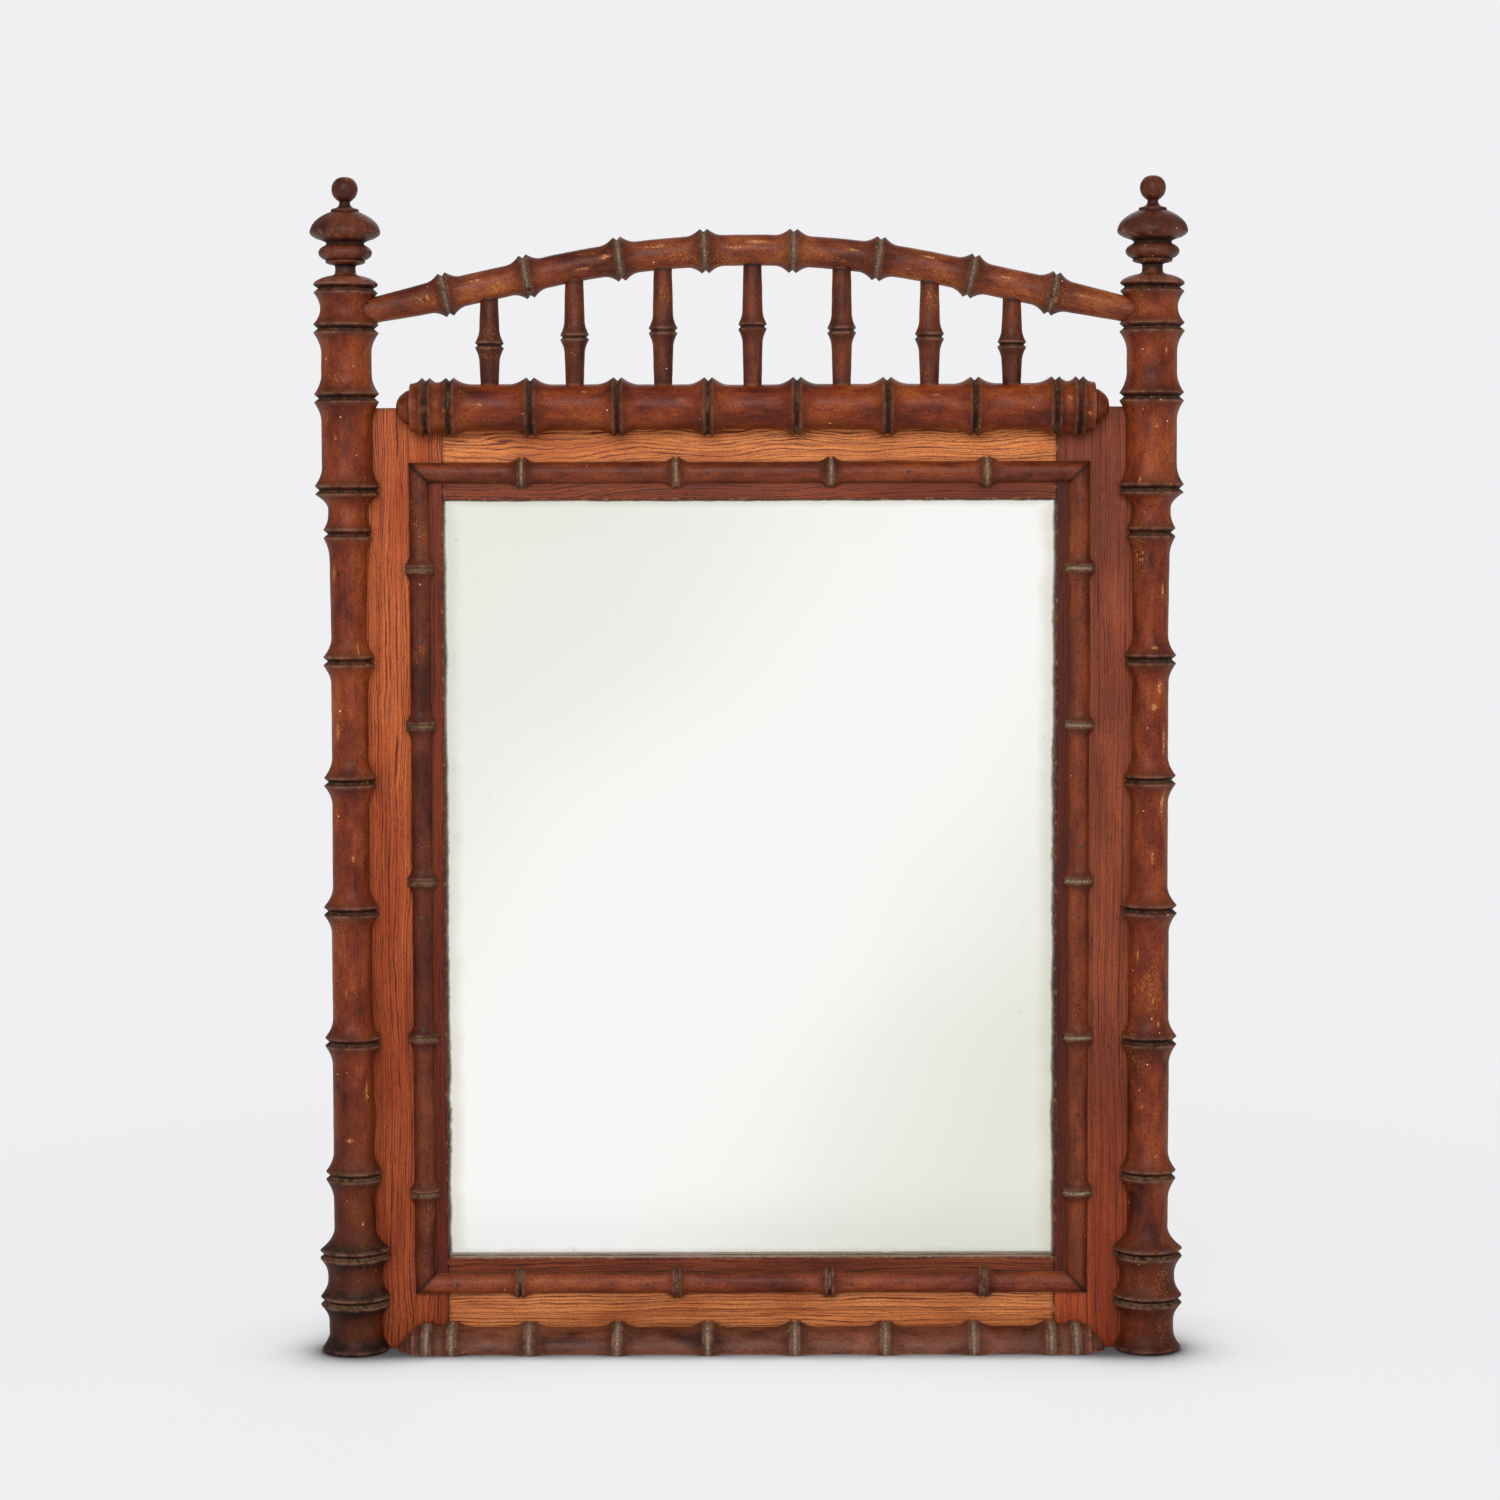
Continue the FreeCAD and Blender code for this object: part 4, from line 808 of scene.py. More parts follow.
def mirror_plate(name):
    """Old silvered plate: a faint warm cast, a painted reflection that dims away from a band, and silver lost along the
    edges.
    """
    m = Nodes(name)
    co = m.object()
    x, y, z = m.sep(co)
    # painted reflection: a broad clear band from lower left to upper right, dimmer and warmer towards the other two
    # corners
    across = m.add(m.mul(x, 1.25), m.mul(m.math("SUBTRACT", z, 0.44), -1.0))
    drift = m.noise(m.vec("MULTIPLY", co, (2.2, 1.0, 2.2)), 1.0, 2.0, 0.45)
    across = m.add(across, m.mul(m.math("SUBTRACT", drift, 0.5), 0.5))
    reflection_dimming = m.mul(m.ease(m.math("ABSOLUTE", across), 0.12, 0.62), m.scale(across, -0.6, 0.6, 0.72, 1.2))
    col = m.mix(reflection_dimming, (0.985, 0.985, 0.948, 1), (0.825, 0.823, 0.735, 1))
    ex = m.math("SUBTRACT", 0.276, m.math("ABSOLUTE", x))
    e0 = m.math("SUBTRACT", z, 0.084)
    e1 = m.math("SUBTRACT", 0.773, z)
    crumbs = m.noise(co, 190.0, 5.0, 0.65)
    crumbs2 = m.noise(co, 38.0, 3.0, 0.5)
    near = m.math("MINIMUM", m.math("MINIMUM", ex, m.mul(e0, 2.2)), m.mul(e1, 2.4))
    reach = m.add(m.mul(crumbs, 0.0042), m.mul(m.math("SUBTRACT", crumbs2, 0.45), 0.006))
    lost = m.ease(m.math("SUBTRACT", near, reach), 0.0010, -0.0022)
    haze = m.ease(m.math("SUBTRACT", near, m.mul(crumbs2, 0.012)), 0.012, -0.002)
    col = m.mix(m.mul(haze, 0.50), col, (0.62, 0.60, 0.47, 1))
    fox = m.mul(m.ease(m.noise(co, 70.0, 4.0, 0.7), 0.66, 0.74), m.ease(near, 0.05, 0.0))
    col = m.mix(m.mul(fox, 0.5), col, (0.35, 0.32, 0.24, 1))
    col = m.mix(lost, col, m.ramp(crumbs, [(0.4, lin("#2c2519")), (0.62, lin("#7d755c"))]))
    metal = m.math("SUBTRACT", 1.0, m.mul(lost, 0.9))
    r = m.add(0.02, m.add(m.mul(haze, 0.10), m.mul(lost, 0.35)))
    return m.done(col, r, None, metallic=metal, specular=0.5)


M_POST = turned_wood("bamboo_posts", "#42150a", "#722f18", "#944a25", wear=0.45, chip=0.1, dusty=0.9, powder=("#3a2a20", "#725b48"))
M_RAIL = turned_wood("bamboo_rails", "#46170b", "#773217", "#9a4f22", wear=0.35, chip=0.2, dusty=0.35, packed=0.22, lips=0.6)
M_BASE = turned_wood("bamboo_base", "#3b1a10", "#6a3c29", "#8a523b", wear=0.15, dusty=0.5, packed=1.0, bared="#a9653c", chip=0.55, powder=("#5a4636", "#b6a185"), tint=(1.0, 0.98, 0.98, 1.0))
M_CREST = turned_wood("bamboo_crest", "#461b0e", "#76391f", "#9f5c2d", wear=0.8, chip=0.5, dusty=0.3, packed=0.72, powder=("#4e3a2c", "#a68f74"), lips=0.4, tint=(1.0, 0.98, 0.98, 1.0))
M_SPINDLE = turned_wood("bamboo_spindles", "#36140c", "#5a2a1a", "#7a3c1e", wear=0.4, dusty=0.35)
M_FINIAL = turned_wood("bamboo_finials", "#2c100a", "#4a2117", "#653320", wear=0.5, dusty=0.4, lips=0.35)
M_MOULD = turned_wood("moulding_wood", "#451a0f", "#703421", "#914926", wear=0.15, dusty=0.4, packed=0.85, powder=("#5a4636", "#b8a58c"), lips=0.7)
M_MOULD_L = turned_wood("moulding_left_wood", "#3a140c", "#602b1c", "#7d3f22", wear=0.1, dusty=0.4, packed=0.6)
# a lighter copy of the moulding finish for the upward-facing bottom moulding: painted light
M_MOULD_BOTTOM_LIT = turned_wood("moulding_bottom_lit_wood", "#4c1d11", "#7b3a25", "#9d522b", wear=0.15, dusty=0.5, packed=0.40, tint=(1.0, 0.98, 0.96, 1.0))
M_STILE_L = pine("pine_stile_left", "z", (-0.165, 0.075), 0.0021, "#c26330", "#5c1f08", "#a8491d", 0.85, low=0.45)
M_STILE_R = pine("pine_stile_right", "z", (0.175, 0.070), 0.0023, "#95492a", "#42170c", "#783620", 0.93, line=0.66, low=0.72, low_tint="#f2cd96", low_mode="SOFT_LIGHT", low_from=0.30)
M_RAIL_T = pine("pine_rail_top", "x", (1.000, 0.085), 0.0025, "#e28b49", "#64250a", "#bb622e", 0.97, warp=1.4)
M_RAIL_B = pine("pine_rail_bottom", "x", (-0.150, 0.085), 0.0026, "#d8874c", "#652a12", "#ad5d2d", 0.95, warp=1.4, sill=True)
M_RAW = raw_boards("raw_pine")
M_IRON = iron("old_iron")
M_BRAD = iron("stained_brads", "#452014", "#381a10", "#5c2e1a", 0.0)
M_BRASS = brass("old_brass")
M_GLASS = mirror_plate("silvered_plate")


# ------------------------------------------------------------------ turned work
t, r = smooth_line(post_line(), far=3.2)
POST_T, POST_R = t, r
ring_places = [(z, POST_LIP_HALF) for z, _ in POST_RINGS]
POST_SCARS = {
    "left": [(829.0, -0.35, 2.2, 1.6), (640.0, 0.55, 7.0, 1.4), (566.0, -0.6, 9.0, 2.2), (452.0, 0.2, 3.0, 1.5), (330.0, -0.2, 4.0, 1.3),
             (196.0, -0.1, 2.2, 4.0), (120.0, 0.5, 2.0, 1.6), (893.0, 0.4, 2.0, 1.4), (708.0, -0.75, 8.0, 1.8), (240.0, 0.8, 10.0, 1.6)],
    "right": [(587.0, 0.12, 3.6, 3.4), (604.0, 0.45, 8.0, 2.6), (640.0, 0.1, 1.6, 4.2), (452.0, 0.05, 7.5, 1.3), (500.0, 0.62, 13.0, 2.4),
              (556.0, 0.75, 15.0, 2.0), (690.0, 0.6, 9.0, 1.5), (790.0, -0.5, 4.0, 1.4), (838.0, 0.1, 2.2, 2.0), (905.0, 0.5, 3.0, 1.6),
              (300.0, 0.4, 3.0, 1.5), (226.0, -0.4, 2.0, 2.4), (180.0, 0.3, 2.4, 2.0), (362.0, -0.7, 6.0, 1.5)]}
for side, sx in (("left", -1), ("right", 1)):
    ob = turned("post_%s_turned" % side, t, r, ring_places, straight((sx * AXIS_X, AXIS_Y, 0), (0, 0, 1), (0, -1, 0), (1, 0, 0)),
                "flat", -AXIS_Y, 104, M_POST, chips=0.6, split=FRAME_TOP, scars=POST_SCARS[side],
                flank_light=(0.55, 0.25) if sx < 0 else (0.45, 0.95), board_contact_shade=0.85, foot=0.44 if sx > 0 else 0.86, inner=-sx)
    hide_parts("post_" + side)

ft, fr = smooth_line([(955.5, 5.2), (956.7, 6.0), (972.0, 6.0), (973.3, 6.2)] + FINIAL, sigma=0.24, step=0.2, far=3.0)
for side, sx in (("left", -1), ("right", 1)):
    ob = turned("finial_%s_turned" % side, ft, fr, [], straight((sx * AXIS_X, AXIS_Y, 0), (0, 0, 1), (0, -1, 0), (1, 0, 0)),
                "round", 0.0, 88, M_FINIAL, chips=0.7)
    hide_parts("finial_" + side)

gt, gr = smooth_line(rail_line(GALLERY_NODES))
ob = turned("gallery_rail_turned", gt, gr, [(s * k, RAIL_LIP_HALF) for k in GALLERY_NODES for s in (-1, 1)],
            straight((GALLERY_X, GALLERY_Y, FRAME_TOP), (1, 0, 0), (0, -1, 0), (0, 0, 1)), "notch", -GALLERY_Y, 96,
            M_RAIL, chips=0.5, weld=True, board_contact_shade=0.80, underside_shade=0.24,
            scars=[(-243.0, 0.1, 1.6, 1.8), (-150.0, 0.7, 3.0, 1.2), (-64.0, 0.3, 4.0, 1.2), (76.0, -0.2, 2.2, 1.4), (164.0, 0.5, 4.0, 1.3),
                   (282.0, 0.3, 2.4, 2.0), (300.0, -0.3, 2.0, 2.0)])
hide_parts("gallery_rail")

bt, br = smooth_line(rail_line(BASE_NODES))
ob = turned("base_rail_turned", bt, br, [(s * k, RAIL_LIP_HALF) for k in BASE_NODES for s in (-1, 1)],
            straight((0, AXIS_Y, 0), (1, 0, 0), (0, -1, 0), (0, 0, 1)), "quarter", -AXIS_Y, 72,
            M_BASE, chips=1.5, weld=True)
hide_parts("base_rail")

# crest rail along its bowed line
gx = np.linspace(-CREST_END_X, CREST_END_X, 1401)
gz = crest_z(gx)
gs = np.concatenate([[0], np.cumsum(np.hypot(np.diff(gx), np.diff(gz)))])
gs -= gs[-1] / 2
GS_END = gs[-1]


def crest_frames(t):
    x, z = np.interp(t, gs, gx), np.interp(t, gs, gz)
    xa, xb = np.interp(t - 2, gs, gx), np.interp(t + 2, gs, gx)
    za, zb = np.interp(t - 2, gs, gz), np.interp(t + 2, gs, gz)
    ax = np.stack([xb - xa, 0 * x, zb - za], 1)
    ax /= np.linalg.norm(ax, axis=1)[:, None]
    return (np.stack([x, 0 * x + GALLERY_Y, z], 1), ax, np.stack([0 * x, 0 * x - 1, 0 * x], 1),
            np.stack([-ax[:, 2], 0 * x, ax[:, 0]], 1))


crest_nodes = [float(np.interp(s * k, gx, gs)) for k in reversed(CREST_NODES) for s in (-1,)] + [float(np.interp(k, gx, gs)) for k in CREST_NODES]
pts = [(-GS_END, CREST_END_R), (-GS_END + CREST_TENON, CREST_END_R)]
pts += [(crest_nodes[0] - CREST_LIP_HALF - a, rr) for a, rr in flare_out(0.0, CREST_LIP, CREST_WAIST, CREST_FLARE)][::-1]
for i, k in enumerate(crest_nodes):
    pts += [(k - CREST_LIP_HALF, CREST_LIP), (k, CREST_LIP - CREST_V), (k + CREST_LIP_HALF, CREST_LIP)]
    if i + 1 < len(crest_nodes):
        pts += bay(k + CREST_LIP_HALF, CREST_LIP, crest_nodes[i + 1] - CREST_LIP_HALF, CREST_LIP, CREST_WAIST, CREST_WAIST, CREST_FLARE)[:-1]
pts += flare_out(crest_nodes[-1] + CREST_LIP_HALF, CREST_LIP, CREST_WAIST, CREST_FLARE)
pts += [(GS_END - CREST_TENON, CREST_END_R), (GS_END, CREST_END_R)]
ct, cr = smooth_line(pts)


def crest_touch(p):
    """Near the posts' skin, where the ends of the crest rail go in."""
    gap = np.hypot(np.abs(p[..., 0]) - AXIS_X, p[..., 1] - AXIS_Y) - np.interp(p[..., 2], POST_T, POST_R)
    return np.exp(-np.maximum(gap, 0) / 1.0)


ob = turned("crest_rail_turned", ct, cr, [(k, CREST_LIP_HALF) for k in crest_nodes], crest_frames, "round", 0.0, 72,
            M_CREST, chips=0.8, touch=crest_touch,
            scars=[(-245.0, 0.4, 9.0, 1.6), (-128.0, 0.2, 6.0, 2.2), (-150.0, -0.3, 8.0, 1.4), (-82.0, 0.5, 10.0, 1.8), (8.0, 0.5, 14.0, 2.0),
                   (-12.0, 0.1, 9.0, 1.5), (92.0, 0.3, 7.0, 1.6), (160.0, 0.6, 9.0, 1.5), (232.0, 0.3, 8.0, 1.8), (300.0, 0.2, 7.0, 1.5)])
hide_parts("crest_rail")

for i, (x, zn) in enumerate(zip(SPINDLE_X, SPINDLE_NODE_Z)):
    top, bot = float(crest_z(x)) - 9.6, FRAME_TOP + 17.2
    a, c = zn - SPINDLE_LIP_HALF, zn + SPINDLE_LIP_HALF
    pts = [(bot - 8.0, 4.5), (bot, 4.5), (bot, SPINDLE_R), (bot + 4.5, SPINDLE_R)]
    pts += [(a - q, rr) for q, rr in flare_out(0.0, SPINDLE_LIP, SPINDLE_BODY, SPINDLE_FLARE)][::-1]
    pts += [(a, SPINDLE_LIP), (zn, SPINDLE_LIP - SPINDLE_V), (c, SPINDLE_LIP)]
    pts += flare_out(c, SPINDLE_LIP, SPINDLE_BODY, SPINDLE_FLARE)
    pts += [(top - 7.0, SPINDLE_R), (top, SPINDLE_R), (top, 4.5), (top + 8.0, 4.5)]
    st, sr = smooth_line(pts)
    ob = turned("spindle_%d_turned" % (i + 1), st, sr, [(zn, SPINDLE_LIP_HALF)],
                straight((x, GALLERY_Y, 0), (0, 0, 1), (0, -1, 0), (1, 0, 0)), "round", 0.0, 56, M_SPINDLE,
                chips=0.8, ends=(FRAME_TOP + 20.2, float(crest_z(x)) - 13.6))
    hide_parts("spindle_%d" % (i + 1))

for name, zc, knots, way in (("moulding_top", MOULD_TOP_Z, MOULD_TOP_NODES, 1.0), ("moulding_bottom", MOULD_BOT_Z, MOULD_BOT_NODES, -1.0)):
    mt, mr = smooth_line(mould_line(-MOULD_X, MOULD_X, knots))
    ob = turned(name + "_turned", mt, mr, [(k, MOULD_LIP_HALF) for k in knots],
                straight((0, 0, zc), (1, 0, 0), (0, -1, 0), (0, 0, 1)), "flat", 0.0, 44, M_MOULD if way > 0 else M_MOULD_BOTTOM_LIT,
                chips=0.5, mitre=(-MOULD_X, MOULD_X, way), ends=(-MOULD_X, MOULD_X))
    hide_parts(name)
for side, sx in (("left", -1.0), ("right", 1.0)):
    mt, mr = smooth_line(mould_line(MOULD_BOT_Z, MOULD_TOP_Z, MOULD_SIDE_NODES))
    ob = turned("moulding_%s_turned" % side, mt, mr, [(k, MOULD_LIP_HALF) for k in MOULD_SIDE_NODES],
                straight((sx * MOULD_X, 0, 0), (0, 0, 1), (0, -1, 0), (1, 0, 0)), "flat", 0.0, 44, M_MOULD if sx > 0 else M_MOULD_L,
                chips=0.5, mitre=(MOULD_BOT_Z, MOULD_TOP_Z, sx), ends=(MOULD_BOT_Z, MOULD_TOP_Z))
    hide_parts("moulding_" + side)


# ------------------------------------------------------------------ boards
def span(a, b, step, e, also=()):
    ends = e * np.array([0, 0.332, 0.586, 0.801])
    n = max(2, int(round((b - a - 2 * e) / step)) + 1)
    inner = np.linspace(a + e, b - e, n)
    for x in also:
        inner = inner[np.abs(inner - x) > 0.45 * step]
    return np.sort(np.concatenate([a + ends, inner, b - ends, list(also)]))


def footprint(x, z):
    """How far a point of the frame's face is from the turned work standing on it, in mm."""
    far = np.full(x.shape, 99.0)

    def chord(t, line_t, line_r, d):
        r = np.interp(t, line_t, line_r, left=0, right=0)
        return np.where(r > d, np.sqrt(np.maximum(r * r - d * d, 0)), -50)
    far = np.minimum(far, np.abs(np.abs(x) - AXIS_X) - chord(z, POST_T, POST_R, -AXIS_Y))
    far = np.minimum(far, np.abs(z - FRAME_TOP) - chord(x - GALLERY_X, gt, gr, -GALLERY_Y))
    far = np.minimum(far, z - chord(x, bt, br, -AXIS_Y))
    for zc, knots in ((MOULD_TOP_Z, MOULD_TOP_NODES), (MOULD_BOT_Z, MOULD_BOT_NODES)):
        lt, lr = smooth_line(mould_line(-MOULD_X - 9, MOULD_X + 9, knots))
        far = np.minimum(far, np.abs(z - zc) - chord(x, lt, lr, 0.0))
    lt, lr = smooth_line(mould_line(MOULD_BOT_Z - 9, MOULD_TOP_Z + 9, MOULD_SIDE_NODES))
    return np.minimum(far, np.abs(np.abs(x) - MOULD_X) - chord(z, lt, lr, 0.0))


def board(name, box, steps, e, mat, replaced, cuts=(), seed=1, sag=0.10, knocks=1.0, planes=((), (), ()), contact=True):
    """A sawn board with eased, knocked edges; cuts are boxes taken out of it (the rebates)."""
    lo, hi = np.array(box[0], float), np.array(box[1], float)
    ax = [span(lo[i], hi[i], steps[i], e, planes[i]) for i in range(3)]
    mid = [(a[1:] + a[:-1]) / 2 for a in ax]
    solid = np.ones([len(m) for m in mid], bool)
    for clo, chi in cuts:
        inside = [(m > clo[i]) & (m < chi[i]) for i, m in enumerate(mid)]
        solid &= ~(inside[0][:, None, None] & inside[1][None, :, None] & inside[2][None, None, :])
    shape = [len(a) for a in ax]
    pad = np.pad(solid, 1)
    quads = []
    for k in range(3):
        a = np.take(pad, range(0, pad.shape[k] - 1), k)
        b = np.take(pad, range(1, pad.shape[k]), k)
        for there, sign in ((a & ~b, 1), (b & ~a, -1)):
            at = np.argwhere(there)
            other = [i for i in range(3) if i != k]
            base = at.copy()
            for i in other:
                base[:, i] -= 1
            corner = []
            for du, dv in ((0, 0), (1, 0), (1, 1), (0, 1)):
                c = base.copy()
                c[:, other[0]] += du
                c[:, other[1]] += dv
                corner.append((c[:, 0] * shape[1] + c[:, 1]) * shape[2] + c[:, 2])
            q = np.stack(corner, 1)
            if (sign < 0) != (k == 1):
                q = q[:, ::-1]
            quads.append(q)
    quads = np.concatenate(quads)
    used, inverse = np.unique(quads, return_inverse=True)
    quads = inverse.reshape(-1, 4)
    i0, rem = np.divmod(used, shape[1] * shape[2])
    i1, i2 = np.divmod(rem, shape[2])
    p = np.stack([ax[0][i0], ax[1][i1], ax[2][i2]], 1)
    core = np.clip(p, lo + e, hi - e)
    v = p - core
    length = np.linalg.norm(v, axis=1)
    q = np.where(length[:, None] > 1e-9, core + v / np.maximum(length, 1e-9)[:, None] * e, p)
    # how near each point is to one of the board's own edges
    gap = np.sort(np.minimum(p - lo, hi - p), axis=1)[:, 1]
    rim = np.exp(-(gap / 1.3) ** 2)
    hit = np.clip(waves(p, 11, seed) - 1.25, 0, 1.4) * knocks
    soft = 0.10 * np.clip(waves(p, 5, seed + 1), 0, 2) * knocks
    q -= (v / np.maximum(length, 1e-9)[:, None]) * (rim * np.where(gap < 3, 0.55 * hit + soft, 0))[:, None]
    # long shallow waves left by the plane
    on_face = np.where(np.abs(p[:, 1] - lo[1]) < 1e-6, 1.0, np.where(np.abs(p[:, 1] - hi[1]) < 1e-6, 1.0, 0.0))
    inner = ease(gap, 1.0, 6.0)
    q[:, 1] += sag * on_face * inner * (waves(p * np.array(steps_scale(steps)), 34, seed + 2) * 0.7 + waves(p, 12, seed + 3) * 0.25)
    edge = np.exp(-(gap / 0.8) ** 2)
    grime = np.zeros(len(p))
    if contact:
        d = footprint(p[:, 0], p[:, 2])
        # grime and painted contact shade on the face, close beside the turned work that stands on it
        grime = np.where(np.abs(p[:, 1] - lo[1]) < 2, 0.30 * np.exp(-np.maximum(d, 0) / 0.8) + 0.06 * np.exp(-np.maximum(d, 0) / 5.0), 0)
        grime = np.clip(grime, 0, 1)
    q[:, 1] += SHIFT_Y
    me = bpy.data.meshes.new(name)
    me.from_pydata((q * MM).tolist(), [], quads.tolist())
    put_attributes(me, {"edge": edge, "grime": grime})
    ob = finish_mesh(me, name, mat, 50)
    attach(ob, "frame")
    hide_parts(replaced)
    return ob


def steps_scale(steps):
    s = np.array(steps, float)
    k = np.ones(3)
    k[int(np.argmax(s))] = 0.22
    return k


rebate_glass = ((-284.0, LIP_T, 76.0), (284.0, 60.0, 781.0))
rebate_board = ((-292.0, LEDGE, 68.0), (292.0, 60.0, 789.0))
cuts = (rebate_glass, rebate_board)
for side, sx in (("left", -1), ("right", 1)):
    xs = sorted((sx * SIGHT_X, sx * STILE_OUT_X))
    board("stile_%s_board" % side, ((xs[0], 0, 0), (xs[1], BOARD_T, FRAME_TOP)), (2.2, 4.0, 3.4), 0.7,
          M_STILE_L if sx < 0 else M_STILE_R, "stile_" + side, cuts, seed=11 + 7 * sx,
          planes=((sx * 284.0, sx * 292.0), (LIP_T, LEDGE), (68.0, 76.0, 781.0, 789.0)))
board("rail_top_board", ((-SIGHT_X, 0, SIGHT_Z1), (SIGHT_X, BOARD_T, FRAME_TOP)), (3.4, 4.0, 2.2), 0.7, M_RAIL_T,
      "rail_top", cuts, seed=31, planes=((), (LIP_T, LEDGE), (781.0, 789.0)))
board("rail_bottom_board", ((-SIGHT_X, 0, 0), (SIGHT_X, BOARD_T, SIGHT_Z0)), (3.4, 4.0, 2.2), 0.7, M_RAIL_B,
      "rail_bottom", cuts, seed=41, planes=((), (LIP_T, LEDGE), (68.0, 76.0)))
for i, name in enumerate(("backboard_bottom", "backboard_middle", "backboard_top")):
    z0, z1 = PLANK_Z[i] + (0.6 if i else 0.0), PLANK_Z[i + 1] - (0.6 if i < 2 else 0.0)
    board(name + "_plank", ((-291.5, LEDGE, z0), (291.5, BOARD_T, z1)), (9.0, 3.0, 6.0), 0.8, M_RAW, name,
          seed=51 + 10 * i, sag=0.22, knocks=1.6, contact=False)

# ------------------------------------------------------------------ the plate
ob = board("mirror_plate", ((-283.0, LIP_T, 77.0), (283.0, LIP_T + 4.0, 780.0)), (40.0, 2.0, 40.0), 0.35, M_GLASS,
           "mirror_glass", seed=71, sag=0.0, knocks=0.0, contact=False)


# ------------------------------------------------------------------ brads, nails and screws
def heads(name, places, line, way, cols, mat, replaced, seed, uneven=0.06, tilt=0.0, slot_w=0.0, slot_d=0.0):
    """Small round heads: line is (height, radius) from the wood outwards, way is +1 for the back, -1 for the front."""
    g = np.random.default_rng(seed)
    verts, faces = [], []
    hgt, rad = np.array([a for a, _ in line]), np.array([b for _, b in line])
    for x, y, z in places:
        turn, lean, along = g.uniform(0, 2 * math.pi), g.uniform(-tilt, tilt, 2), g.uniform(0, math.pi)
        a = 2 * math.pi * np.arange(cols) / cols
        wob = 1 + uneven * (np.sin(a * 2 + turn) * 0.5 + np.sin(a * 3 + 2 * turn) * 0.35 + np.sin(a * 5 + 3 * turn) * 0.25)
        px = rad[:, None] * np.cos(a)[None] * wob[None]
        pz = rad[:, None] * np.sin(a)[None] * wob[None]
        ph = hgt[:, None] + 0 * px + lean[0] * px + lean[1] * pz
        if slot_d:
            across = px * math.sin(along) - pz * math.cos(along)
            ph = ph - slot_d * ease(np.abs(across), slot_w * 0.62, slot_w * 0.42) * (hgt[:, None] > -0.6)
        base = len(verts)
        verts += np.stack([x + px, y + way * ph, z + pz], 2).reshape(-1, 3).tolist()
        verts += [[x, y + way * hgt[0], z], [x, y + way * (hgt[-1] - slot_d), z]]
        n = len(hgt)
        for i in range(n - 1):
            for j in range(cols):
                k = (j + 1) % cols
                q = [base + i * cols + j, base + i * cols + k, base + (i + 1) * cols + k, base + (i + 1) * cols + j]
                faces.append(q if way < 0 else q[::-1])
        for j in range(cols):
            k = (j + 1) % cols
            b0 = [base + n * cols, base + k, base + j]
            b1 = [base + n * cols + 1, base + (n - 1) * cols + j, base + (n - 1) * cols + k]
            faces.append(b0 if way < 0 else b0[::-1])
            faces.append(b1 if way < 0 else b1[::-1])
    v = np.array(verts) + np.array([0, SHIFT_Y, 0])
    me = bpy.data.meshes.new(name)
    me.from_pydata((v * MM).tolist(), [], faces)
    ob = finish_mesh(me, name, mat, 60)
    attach(ob, "frame")
    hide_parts(replaced)
    return ob


pin_y = -MOULD_R
pins = [(x, pin_y, MOULD_TOP_Z) for x in PIN_TOP_X] + [(x, pin_y, MOULD_BOT_Z) for x in PIN_BOT_X]
pins += [(sx * MOULD_X, pin_y, z) for sx in (-1, 1) for z in PIN_SIDE_Z]
heads("moulding_brads", pins, [(-0.9, 1.2), (-0.6, 1.7), (0.05, 1.75), (0.2, 1.5), (0.28, 0.9), (0.3, 0.3)], -1, 18, M_BRAD,
      "moulding_pins", 5)
nails = []
for i in range(3):
    z0, z1 = PLANK_Z[i] + (0.6 if i else 0.0), PLANK_Z[i + 1] - (0.6 if i < 2 else 0.0)
    nails += [(sx * NAIL_X, BOARD_T, z0 + q * (z1 - z0)) for sx in (-1, 1) for q in (0.1, 0.47, 0.9)]
heads("backboard_nail_heads", nails, [(-0.8, 2.2), (-0.3, 2.9), (0.35, 3.2), (0.7, 3.05), (0.95, 2.4), (1.08, 1.4), (1.1, 0.5)], 1, 22,
      M_IRON, "backboard_nails", 6, uneven=0.10, tilt=0.03)
screw_line = [(-3.2, 1.6), (-2.4, 2.1), (-0.5, 4.05), (-0.1, 4.15), (0.12, 4.05), (0.2, 3.6), (0.25, 3.0), (0.27, 2.4), (0.29, 1.8),
              (0.3, 1.2), (0.3, 0.7), (0.3, 0.3)]
heads("post_screw_heads", [(sx * AXIS_X, BOARD_T, z) for sx in (-1, 1) for z in POST_SCREW_Z], screw_line, 1, 48, M_IRON,
      "post_screws", 7, uneven=0.01, slot_w=1.3, slot_d=0.9)
heads("rail_screw_heads", [(x, BOARD_T, z) for z in (FRAME_TOP - 9.0, 10.0) for x in RAIL_SCREW_X], screw_line, 1, 48, M_IRON,
      "rail_screws", 8, uneven=0.01, slot_w=1.3, slot_d=0.9)

# ------------------------------------------------------------------ pieces whose construction shape already serves
for name, mat in (("glazing_blocks", M_RAW), ("hanger_eye_left", M_BRASS), ("hanger_eye_right", M_BRASS),
                  ("hanger_ring_left", M_BRASS), ("hanger_ring_right", M_BRASS)):
    ob = nodes[name]
    for s in ob.material_slots:
        s.material = mat

# ------------------------------------------------------------------ stage, light, camera
BACK = (0.871, 0.871, 0.887, 1.0)


